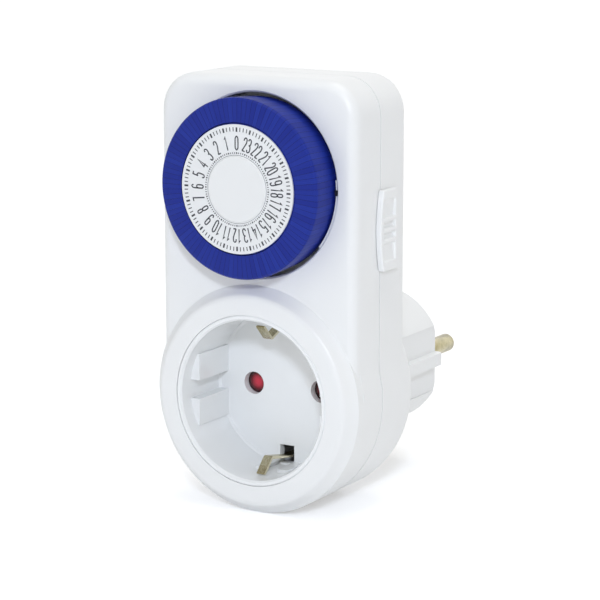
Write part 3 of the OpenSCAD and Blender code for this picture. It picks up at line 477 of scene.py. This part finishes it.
def groove_group(middle_y, width, rise):
    """A node group meant to lift the floor of the fine groove at the parting line.

    Known fault: the floor's triangles have their middles outside the tolerance, so the floor stays as packed.
    The group takes faces of the two ears that carry the switch lever instead, and thickens them.
    """
    tree, start = geometry_group("shallow_groove")
    normal = add(tree, "GeometryNodeInputNormal").outputs[0]
    place = add(tree, "GeometryNodeInputPosition")
    # Both are read on faces, where a triangle's place is the mean of its corners
    depth = add(tree, "ShaderNodeSeparateXYZ", {"Vector": place}).outputs["Y"]
    middle = add(tree, "FunctionNodeCompare", {0: depth, 1: middle_y, "Epsilon": width * 0.1},
                 operation="EQUAL")
    slant = add(tree, "ShaderNodeSeparateXYZ", {"Vector": normal}).outputs["Y"]
    level = add(tree, "FunctionNodeCompare", {0: slant, 1: 0.0, "Epsilon": 0.1}, operation="EQUAL")
    floor = add(tree, "FunctionNodeBooleanMath", {0: middle, 1: level}, operation="AND")
    kept = add(tree, "GeometryNodeCaptureAttribute", {"Geometry": start}, domain="FACE")
    kept.capture_items.new("BOOLEAN", "floor")
    kept.capture_items.new("VECTOR", "out")
    tree.links.new(floor.outputs[0], kept.inputs[1])
    tree.links.new(normal, kept.inputs[2])
    out = add(tree, "ShaderNodeVectorMath", {0: kept.outputs[2], 1: (1, 0, 1)}, operation="MULTIPLY")
    unit = add(tree, "ShaderNodeVectorMath", {0: out}, operation="NORMALIZE")
    lift = add(tree, "ShaderNodeVectorMath", {0: unit, "Scale": rise}, operation="SCALE")
    moved = add(tree, "GeometryNodeSetPosition", {"Geometry": kept, "Selection": kept.outputs[1],
                                                  "Offset": lift})
    add(tree, "NodeGroupOutput", {0: moved})
    return tree


def melt(node, cell_mm, rounds):
    """Melts a small moulding's edges into soft forms: fine even cells, then smoothing."""
    cells = node.modifiers.new("fine_cells", "REMESH")
    cells.mode = "VOXEL"
    cells.voxel_size = cell_mm * MM
    cells.use_smooth_shade = True
    forms = node.modifiers.new("soft_forms", "SMOOTH")
    forms.factor = 0.5
    forms.iterations = rounds


def soften(node, width_mm):
    """Rounds a solid's sharp edges by a small radius."""
    bevel = node.modifiers.new("small_radius", "BEVEL")
    bevel.width = width_mm * MM
    bevel.segments = 2
    bevel.limit_method = "ANGLE"
    bevel.angle_limit = radians(40)
    bevel.harden_normals = True


# ---------- settings ----------

def colour(name, description, code):
    """A colour setting, from its sRGB hex code."""
    return bpy.props.FloatVectorProperty(name=name, description=description, subtype="COLOR", size=4,
                                         min=0.0, max=1.0, default=linear(code))


def length(name, description, size_mm):
    """A length setting, from its size in millimetres."""
    return bpy.props.FloatProperty(name=name, description=description, unit="LENGTH", precision=5,
                                   default=size_mm * MM, min=0.0)


def rotation(name, description, degrees):
    """An angle setting, from its degrees."""
    return bpy.props.FloatProperty(name=name, description=description, subtype="ANGLE",
                                   default=radians(degrees))


class EdgeSettings(bpy.types.PropertyGroup):
    collar_flat: length("Collar flat", "Radius at which the collar's flat front ring ends", 24.2)
    collar_out: length("Collar edge shift", "How far the collar's front edge moves outwards", 0.3)
    collar_growth: bpy.props.FloatProperty(
        name="Collar edge growth", description="How many times larger the edge's rounding becomes",
        default=2.0)
    groove_width: length("Groove width", "Width of the groove at the parting line", 0.35)
    groove_rise: length("Groove rise", "How far the floor of the groove is lifted", 0.25)
    clip_dip: length("Clip dip", "How much further the upper earth clip hangs into the recess", 1.7)
    pointer_reach: length("Pointer reach", "How much further the time pointer's tip reaches in", 0.35)
    field_rise: length("Field rise", "How far the ends of the slide's field are lifted", 0.5)
    field_ribbed: length("Ribbed field", "Height of the ribs' part of the field, from its middle", 6.5)
    tappet_draft: length("Tappet draft", "How far the tappets' skirts draw in at their end", 0.7)
    tappet_widening: rotation("Tappet widening", "Angle by which each flank of a tappet moves out", 0.195)


class FinishSettings(bpy.types.PropertyGroup):
    shell_low: colour("Covers, dark", "Darker tone of the two covers", "#EBECEC")
    shell_high: colour("Covers, light", "Lighter tone of the two covers", "#F0F1F1")
    insert_low: colour("Insert, dark", "Darker tone of the socket insert", "#EDEFEF")
    insert_high: colour("Insert, light", "Lighter tone of the socket insert", "#F2F3F4")
    slide_low: colour("Slide, dark", "Darker tone of the override slide", "#ECEDED")
    slide_high: colour("Slide, light", "Lighter tone of the override slide", "#F1F2F2")
    # The shutter's edge colour is painted shade, for the shade that a pin hole's wall casts on the shutter
    shutter_low: colour("Shutter, edge", "Colour of the pin shutter near a pin hole's wall", "#2E080E")
    shutter_high: colour("Shutter, centre", "Colour of the pin shutter in the open", "#D22A42")
    tappets_low: colour("Tappets, dark", "Darker tone of the tappets", "#112280")
    tappets_high: colour("Tappets, light", "Lighter tone of the tappets", "#1F359A")
    disc_low: colour("Disc, dark", "Darker tone of the number disc", "#E4E5E6")
    disc_high: colour("Disc, light", "Lighter tone of the number disc", "#E9EAEB")
    cap_low: colour("Cap, dark", "Darker tone of the dial cap", "#E5E6E6")
    cap_high: colour("Cap, light", "Lighter tone of the dial cap", "#EAEBEB")
    pointer_low: colour("Pointer, dark", "Darker tone of the time pointer", "#101114")
    pointer_high: colour("Pointer, light", "Lighter tone of the time pointer", "#1B1C20")
    ink_low: colour("Ink, dark", "Darker tone of the figures and ticks", "#2E3036")
    ink_high: colour("Ink, light", "Lighter tone of the figures and ticks", "#3C3E45")
    fine_ink_low: colour("Fine ink, dark", "Darker tone of the printed ring", "#4C4F56")
    fine_ink_high: colour("Fine ink, light", "Lighter tone of the printed ring", "#5C6068")


class DialPrintSettings(bpy.types.PropertyGroup):
    film: length("Ink film", "Thickness of the printed ink", 0.015)
    figure_height: length("Figure height", "Height of an hour figure", 3.15)
    figure_width: length("Figure width", "Width of one digit of an hour figure", 0.78)
    figure_gap: length("Figure gap", "Distance between the two digits of an hour figure", 0.42)
    figure_stroke: length("Figure stroke", "Width of the lines that a figure is drawn with", 0.31)
    figure_radius: length("Figure radius", "Distance of the figures' middle from the dial's axis", 10.85)
    tick_inner: length("Tick inner radius", "Inner end of the quarter-hour ticks", 13.55)
    tick_outer: length("Tick outer radius", "Outer end of the quarter-hour ticks", 14.5)
    tick_width: length("Tick width", "Width of a quarter-hour tick", 0.22)
    hour_tick_width: length("Hour tick width", "Width of the tick at a full hour", 0.44)
    hour_tick_extra: length("Hour tick extra", "How much further in the hour's tick begins", 0.1)
    dot_inner: length("Dot inner radius", "Inner end of the short marks round the cap", 8.35)
    dot_outer: length("Dot outer radius", "Outer end of the short marks round the cap", 8.72)
    dot_width: length("Dot width", "Width of a short mark", 0.2)
    hour_dot_width: length("Hour dot width", "Width of the short mark at a full hour", 0.34)
    ring_radius: length("Ring radius", "Radius of the printed ring", 8.02)
    ring_width: length("Ring width", "Width of the printed ring's line", 0.09)


class LedgeSettings(bpy.types.PropertyGroup):
    radius: length("Ledge radius", "Inner radius of the ledge on the dial well's wall", 21.5)
    thickness: length("Ledge thickness", "How far the ledge reaches out, into the well's wall", 0.8)
    depth: length("Ledge depth", "How far the ledge reaches into the well", 1.6)
    edge: length("Ledge edge", "Chamfer of the ledge's front edge", 0.15)
    setback: length("Ledge setback", "How far the ledge's front lies behind the pointer's", 0.3)
    upper_end: rotation("Upper end", "Angle of the ledge's upper end", 6.9)
    lower_end: rotation("Lower end", "Angle of the ledge's lower end", -38)


class StageSettings(bpy.types.PropertyGroup):
    camera_azimuth: rotation("Camera azimuth", "Turn of the camera to the right of the front", 30.52)
    camera_elevation: rotation("Camera elevation", "Height angle of the camera", 10.93)
    camera_distance: length("Camera distance", "Distance of the camera from its target", 536.18)
    camera_target: bpy.props.FloatVectorProperty(
        name="Camera target", description="Point that the camera looks at", subtype="TRANSLATION",
        unit="LENGTH", precision=5, default=(13.97 * MM, -66.5 * MM, 26.0 * MM))
    camera_lens: bpy.props.FloatProperty(name="Lens", description="Focal length on a 36 mm frame",
                                         unit="CAMERA", default=138.0)
    floor_colour: colour("Floor", "Colour of the floor and backdrop", "#F4F5F7")
    sky_strength: bpy.props.FloatProperty(name="Sky", description="Strength of the sky's even light",
                                          default=0.47, min=0.0)


# ---------- operators ----------

class TIMER_OT_soften_edges(bpy.types.Operator):
    """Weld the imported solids, shade their curved faces smooth and finish their fine shapes and edges"""
    bl_idname = "timer.soften_edges"
    bl_label = "Soften the edges"

    def execute(self, context):
        s = context.scene.timer_edges
        reshape(weld_group(), *NODES)
        reshape(collar_group(s.collar_flat, s.collar_out, s.collar_growth), "front_cover")
        reshape(groove_group(GROOVE_Y, s.groove_width, s.groove_rise), "front_cover")
        # The upper earth clip hangs further into the recess than the lower one
        reshape(shift_group("upper_clip_hangs_in", Vector((-FAR, -FAR, 0.0)),
                            Vector((FAR, CLIP_BEND_Y + MM, FAR)), (0, 0, -s.clip_dip)),
                "socket_earth_clips")
        # The pointer's tip ends where the tappets' draft makes room for it
        margin = Vector((MM, MM, MM))
        tip = POINTER_HIGH + margin
        tip.x = POINTER_LOW.x + 0.3 * MM
        reshape(shift_group("pointer_reaches_in", POINTER_LOW - margin, tip, (-s.pointer_reach, 0, 0)),
                "time_pointer")
        for name, width_mm in RADII_MM.items():
            soften(NODES[name], width_mm)
        # The slide's field runs out shallow above and below the grip ribs
        slack = 0.02 * MM
        for name, bottom, top in (("shallow_below", 0.0, SLIDE_Z - s.field_ribbed),
                                  ("shallow_above", SLIDE_Z + s.field_ribbed, FAR)):
            reshape(shift_group(name, Vector((SLIDE_FIELD_X - slack, -FAR, bottom)),
                                Vector((SLIDE_FIELD_X + slack, FAR, top)), (s.field_rise, 0, 0)),
                    "override_slide")
        melt(NODES["override_slide"], cell_mm=0.15, rounds=14)
        reshape(tappet_group(s.tappet_draft, s.tappet_widening), *nodes_like("tappets_"))
        return {"FINISHED"}


class TIMER_OT_finish_housing(bpy.types.Operator):
    """Finish the two covers, the socket insert, the override slide and the shutter"""
    bl_idname = "timer.finish_housing"
    bl_label = "Finish the housing"

    def execute(self, context):
        s = context.scene.timer_finish
        # Polycarbonate, moulded in a lightly eroded tool: cool white with a soft broad sheen
        shell = moulded_plastic("moulded_white_polycarbonate", s.shell_low, s.shell_high, 0.34)
        dress(shell, "front_cover", "rear_cover")
        # Urea, moulded in a polished tool: sharper highlights than the covers show
        insert = moulded_plastic("polished_white_urea_insert", s.insert_low, s.insert_high, 0.2)
        dress(insert, "socket_insert")
        # The slide's white is that of the covers, a little glossier where fingers rub it
        slide = moulded_plastic("moulded_white_slide", s.slide_low, s.slide_high, 0.3)
        dress(slide, "override_slide")
        # Polished ABS: deep red with small wet-looking highlights
        dress(shutter_plastic(s.shutter_low, s.shutter_high), "pin_shutter")
        return {"FINISHED"}


class TIMER_OT_finish_dial(bpy.types.Operator):
    """Finish the tappets, the dial carrier, the number disc, the cap and the pointer"""
    bl_idname = "timer.finish_dial"
    bl_label = "Finish the dial"

    def execute(self, context):
        s = context.scene.timer_finish
        # Acetal, moulded in an eroded tool: a saturated matt blue that shifts from tappet to tappet
        blue = tappet_plastic(s.tappets_low, s.tappets_high)
        dress(blue, "dial_carrier", *nodes_like("tappets_"))
        # Printed sheet of rigid PVC: flat white with almost no sheen
        sheet = moulded_plastic("printed_white_pvc_disc", s.disc_low, s.disc_high, 0.5, 0.2, 0.002)
        dress(sheet, "number_disc")
        # The cap is moulded matt: an even greyish white
        cap = moulded_plastic("moulded_grey_white_cap", s.cap_low, s.cap_high, 0.42)
        dress(cap, "dial_cap")
        # Foil pressed on hot: a dense matt black
        foil = moulded_plastic("matt_black_hot_foil", s.pointer_low, s.pointer_high, 0.5)
        dress(foil, "time_pointer")
        return {"FINISHED"}


class TIMER_OT_print_dial(bpy.types.Operator):
    """Print the hour figures, the quarter-hour ticks and the inner rings on the number disc"""
    bl_idname = "timer.print_dial"
    bl_label = "Print the dial"

    def execute(self, context):
        s, tones = context.scene.timer_dial_print, context.scene.timer_finish
        # Screen-printed ink: a thin, slightly uneven film, so the ring's thin line looks paler
        ink = moulded_plastic("screen_printed_dark_grey_ink", tones.ink_low, tones.ink_high,
                              0.55, 0.15, 0.002)
        fine_ink = moulded_plastic("screen_printed_fine_grey_ink", tones.fine_ink_low,
                                   tones.fine_ink_high, 0.55, 0.15, 0.002)

        figures = bmesh.new()
        pitch = s.figure_width + s.figure_gap
        for hour in range(HOURS):
            digits = str(hour)
            middle = around(s.figure_radius, hour / HOURS)
            up = (around(1, hour / HOURS) - Vector((0, DIAL_Z))).normalized()
            right = Vector((up.y, -up.x))
            for k, digit in enumerate(digits):
                left = (k - (len(digits) - 1) / 2) * pitch - s.figure_width / 2
                for smooth, closed, line in FIGURES[digit]:
                    points = through(line, closed) if smooth else [Vector(p) for p in line]
                    placed = [middle + right * (left + p.x * s.figure_width)
                              + up * ((p.y - 0.5) * s.figure_height) for p in points]
                    ink_line(figures, placed, s.figure_stroke, closed, s.film)
        make_piece("dial_figures", figures, ink, "dial")

        ticks = bmesh.new()
        for k in range(TAPPETS):
            if k % (TAPPETS // HOURS):
                marks = ((s.tick_inner, s.tick_outer, s.tick_width),
                         (s.dot_inner, s.dot_outer, s.dot_width))
            else:
                marks = ((s.tick_inner - s.hour_tick_extra, s.tick_outer, s.hour_tick_width),
                         (s.dot_inner, s.dot_outer, s.hour_dot_width))
            for inner, outer, width in marks:
                ends = [around(inner, k / TAPPETS), around(outer, k / TAPPETS)]
                ink_line(ticks, ends, width, False, s.film)
        make_piece("dial_ticks", ticks, ink, "dial")

        ring = bmesh.new()
        circle = [around(s.ring_radius, -k / TAPPETS) for k in range(TAPPETS)]
        ink_line(ring, circle, s.ring_width, True, s.film)
        make_piece("dial_ring_line", ring, fine_ink, "dial")
        return {"FINISHED"}


class TIMER_OT_build_pointer_ledge(bpy.types.Operator):
    """Build the ledge on the dial well's wall that carries the time pointer"""
    bl_idname = "timer.build_pointer_ledge"
    bl_label = "Build the pointer ledge"

    def execute(self, context):
        s, tones = context.scene.timer_ledge, context.scene.timer_finish
        front = POINTER_LOW.y + s.setback
        outer = s.radius + s.thickness
        section = [(outer, front + s.depth), (s.radius, front + s.depth),
                   (s.radius, front + s.edge), (s.radius + s.edge, front), (outer, front)]
        bm = bmesh.new()
        steps = 24
        rings = []
        for i in range(steps + 1):
            a = s.upper_end + (s.lower_end - s.upper_end) * i / steps
            rings.append([bm.verts.new((r * cos(a), y, DIAL_Z + r * sin(a))) for r, y in section])
        count = len(section)
        for first, second in zip(rings, rings[1:]):
            for k in range(count):
                bm.faces.new((first[k], first[(k + 1) % count], second[(k + 1) % count], second[k]))
        bm.faces.new(rings[0][::-1])
        bm.faces.new(rings[-1])
        # The ledge is moulded with the covers and looks as they do
        white = moulded_plastic("moulded_white_pointer_ledge", tones.shell_low, tones.shell_high, 0.34)
        make_piece("pointer_ledge", bm, white, "housing")
        return {"FINISHED"}


class TIMER_OT_finish_metals(bpy.types.Operator):
    """Finish the pins, clips, contacts, screws and the mechanism's metal and plastic pieces"""
    bl_idname = "timer.finish_metals"
    bl_label = "Finish the metals and the mechanism"

    def execute(self, context):
        # Nickel over turned brass: pale warm gold with fine rings round the pin
        turned = metal("nickel_plated_turned_pin", linear("#8C8050"), linear("#E9E0B8"),
                       0.2, 0.12, 0.004, (0.2, 1, 0.2))
        dress(turned, "plug_pin_live", "plug_pin_neutral")
        # Nickel-plated brass strip: dull, warm grey, with coarse marks of the rolling and a painted highlight
        # on the cut edges
        plated = metal("nickel_plated_brass_strip", linear("#857742"), linear("#FFF8DE"),
                       0.24, 0.4, 0.05, (1, 0.6, 0.6), linear("#E4DCC0"))
        dress(plated, "socket_earth_clips", "plug_earth_strap")
        # Bare brass strip: yellow, with the long fine lines of the rolling
        brass = metal("rolled_brass_strip", linear("#A9853A"), linear("#D3B569"),
                      0.34, 0.15, 0.003, (1, 0.3, 0.3))
        dress(brass, "live_socket_contact", "neutral_socket_contact", "live_feed_strip", "fixed_contact")
        # Phosphor bronze strip: redder than brass, and brighter because it is rolled hard
        bronze = metal("phosphor_bronze_strip", linear("#9C6A3B"), linear("#C9945C"),
                       0.3, 0.15, 0.003, (1, 1, 0.2))
        dress(bronze, "contact_spring")
        # Hobbed brass: pale yellow with fine cutting marks all over
        hobbed = metal("hobbed_brass", linear("#A98C45"), linear("#D5BC78"), 0.3, 0.1, 0.003)
        dress(hobbed, "motor_pinion", "clutch_pinion")
        # Zinc-plated steel: cool light grey, slightly clouded
        zinc = metal("zinc_plated_steel", linear("#8C9196"), linear("#C3C8CD"), 0.32, 0.3, 0.004)
        dress(zinc, "mechanism_plate", "gear_arbors", "motor_case", "dial_screw", "cover_screws")
        # Drawn spring wire: darker grey steel, smooth and shiny
        wire = metal("drawn_spring_wire", linear("#7D8288"), linear("#B4B9BF"), 0.25, 0.1, 0.002)
        dress(wire, "shutter_spring")
        # Enamelled winding: deep copper red under clear enamel, ribbed by its turns
        copper = metal("enamelled_copper_winding", linear("#6E2F12"), linear("#B4622E"), 0.3, 0.15, 0.02)
        dress(copper, "motor_coil")
        # Natural acetal, moulded: milky and slightly warm
        acetal = moulded_plastic("moulded_natural_acetal", linear("#DEDACB"), linear("#EAE6D8"), 0.36)
        dress(acetal, "gear_first", "gear_second", "clutch_wheel", "switch_lever")
        return {"FINISHED"}


class TIMER_OT_build_stage(bpy.types.Operator):
    """Build the floor, the backdrop, the lights and the camera"""
    bl_idname = "timer.build_stage"
    bl_label = "Build the stage"

    def execute(self, context):
        s = context.scene.timer_stage
        self.lay_floor(context, s)
        self.hang_lights(context, s)
        self.set_camera(context, s)
        context.scene.view_settings.view_transform = "Standard"
        return {"FINISHED"}

    def lay_floor(self, context, s):
        """A floor that sweeps up into a backdrop behind the object"""
        low = CAD_BOX[0][2]
        profile = [(FLOOR_FRONT, low), (BEND_Y, low)]
        for k in range(1, BEND_STEPS + 1):
            a = k * pi / 2 / BEND_STEPS
            profile.append((BEND_Y + BEND_R * sin(a), low + BEND_R * (1 - cos(a))))
        profile.append((BEND_Y + BEND_R, BACKDROP_TOP))
        bm = bmesh.new()
        rows = [[bm.verts.new((x, y, z)) for x in (-FLOOR_HALF_WIDTH, FLOOR_HALF_WIDTH)]
                for y, z in profile]
        for a, b in zip(rows, rows[1:]):
            bm.faces.new((a[0], a[1], b[1], b[0]))
        mesh = bpy.data.meshes.new("studio_floor")
        bm.to_mesh(mesh)
        bm.free()
        for face in mesh.polygons:
            face.use_smooth = True
        mesh.materials.append(self.studio_paper(s))
        floor_piece = bpy.data.objects.new("studio_floor", mesh)
        context.scene.collection.objects.link(floor_piece)

    def studio_paper(self, s):
        """Matt backdrop paper: a plain pale surface that shows soft shadows and no sheen"""
        material, tree, place = new_material("studio_paper")
        paper = add(tree, "ShaderNodeBsdfDiffuse", {"Color": s.floor_colour})
        # Seen directly or in a reflection, the paper is lifted to white and still takes the shadow
        path = add(tree, "ShaderNodeLightPath").outputs
        seen = add(tree, "ShaderNodeMath", {0: path["Is Camera Ray"], 1: path["Is Glossy Ray"]},
                   operation="MAXIMUM")
        seen = add(tree, "ShaderNodeMath", {0: seen, 1: path["Is Transmission Ray"]},
                   operation="MAXIMUM")
        # The lamps reach the backdrop less than the floor near the object, so it is lifted more
        depth = add(tree, "ShaderNodeSeparateXYZ", {"Vector": place}).outputs["Y"]
        amount = add(tree, "ShaderNodeMapRange", {"Value": depth, "From Min": 0.3, "From Max": 1.6,
                                                  "To Min": 0.36, "To Max": 0.72})
        lift = add(tree, "ShaderNodeMath", {0: seen, 1: amount}, operation="MULTIPLY")
        glow = add(tree, "ShaderNodeEmission", {"Color": (1, 1, 1, 1), "Strength": lift})
        both = add(tree, "ShaderNodeAddShader", {0: paper, 1: glow})
        add(tree, "ShaderNodeOutputMaterial", {"Surface": both})
        return material

    def hang_lights(self, context, s):
        """A small cool light right of the camera, wide ones above and at both sides, and an even sky"""
        for name, at, size, power, tint in LAMPS:
            lamp = bpy.data.lights.new(name, "AREA")
            lamp.shape = "SQUARE"
            lamp.size = size
            lamp.energy = power
            lamp.color = linear(tint)[:3]
            holder = bpy.data.objects.new(name, lamp)
            holder.location = at
            holder.rotation_euler = (LAMP_AIM - Vector(at)).to_track_quat("-Z", "Y").to_euler()
            context.scene.collection.objects.link(holder)
        world = bpy.data.worlds.new("studio_sky")
        context.scene.world = world
        world.use_nodes = True
        tree = world.node_tree
        tree.nodes.clear()
        path = add(tree, "ShaderNodeLightPath").outputs["Is Camera Ray"]
        # Seen directly, the sky is plain white
        strength = add(tree, "ShaderNodeMapRange", {"Value": path, "To Min": s.sky_strength, "To Max": 1.0})
        sky = add(tree, "ShaderNodeBackground", {"Color": (1, 1, 1, 1), "Strength": strength})
        add(tree, "ShaderNodeOutputWorld", {"Surface": sky})

    def set_camera(self, context, s):
        """The camera of the product view"""
        a, e = s.camera_azimuth, s.camera_elevation
        away = Vector((sin(a) * cos(e), -cos(a) * cos(e), sin(e)))
        data = bpy.data.cameras.new("product_camera")
        data.lens = s.camera_lens
        data.sensor_width = 36.0
        data.clip_start = 0.01
        camera = bpy.data.objects.new("product_camera", data)
        camera.location = Vector(s.camera_target) + away * s.camera_distance
        camera.rotation_euler = (-away).to_track_quat("-Z", "Y").to_euler()
        context.scene.collection.objects.link(camera)
        context.scene.camera = camera


class TIMER_PT_panel(bpy.types.Panel):
    """Steps and settings of the timer switch"""
    bl_idname = "TIMER_PT_panel"
    bl_label = "Timer Switch"
    bl_space_type = "VIEW_3D"
    bl_region_type = "UI"
    bl_category = "Timer Switch"

    def draw(self, context):
        layout = self.layout
        for operator in OPERATORS:
            layout.operator(operator.bl_idname)
        for group in (getattr(context.scene, name) for name in GROUPS):
            box = layout.box()
            for name in group.__annotations__:
                box.prop(group, name)


OPERATORS = (TIMER_OT_soften_edges, TIMER_OT_finish_housing, TIMER_OT_finish_dial, TIMER_OT_print_dial,
             TIMER_OT_build_pointer_ledge, TIMER_OT_finish_metals, TIMER_OT_build_stage)
GROUPS = {"timer_edges": EdgeSettings, "timer_finish": FinishSettings,
          "timer_dial_print": DialPrintSettings, "timer_ledge": LedgeSettings,
          "timer_stage": StageSettings}


def register():
    for cls in (*GROUPS.values(), *OPERATORS, TIMER_PT_panel):
        bpy.utils.register_class(cls)
    for name, group in GROUPS.items():
        setattr(bpy.types.Scene, name, bpy.props.PointerProperty(type=group))


def unregister():
    for name in GROUPS:
        delattr(bpy.types.Scene, name)
    for cls in reversed((*GROUPS.values(), *OPERATORS, TIMER_PT_panel)):
        bpy.utils.unregister_class(cls)


def main():
    """Registers the add-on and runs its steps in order"""
    register()
    bpy.ops.timer.soften_edges()
    bpy.ops.timer.finish_housing()
    bpy.ops.timer.finish_dial()
    bpy.ops.timer.print_dial()
    bpy.ops.timer.build_pointer_ledge()
    bpy.ops.timer.finish_metals()
    bpy.ops.timer.build_stage()


if __name__ == "__main__":
    main()
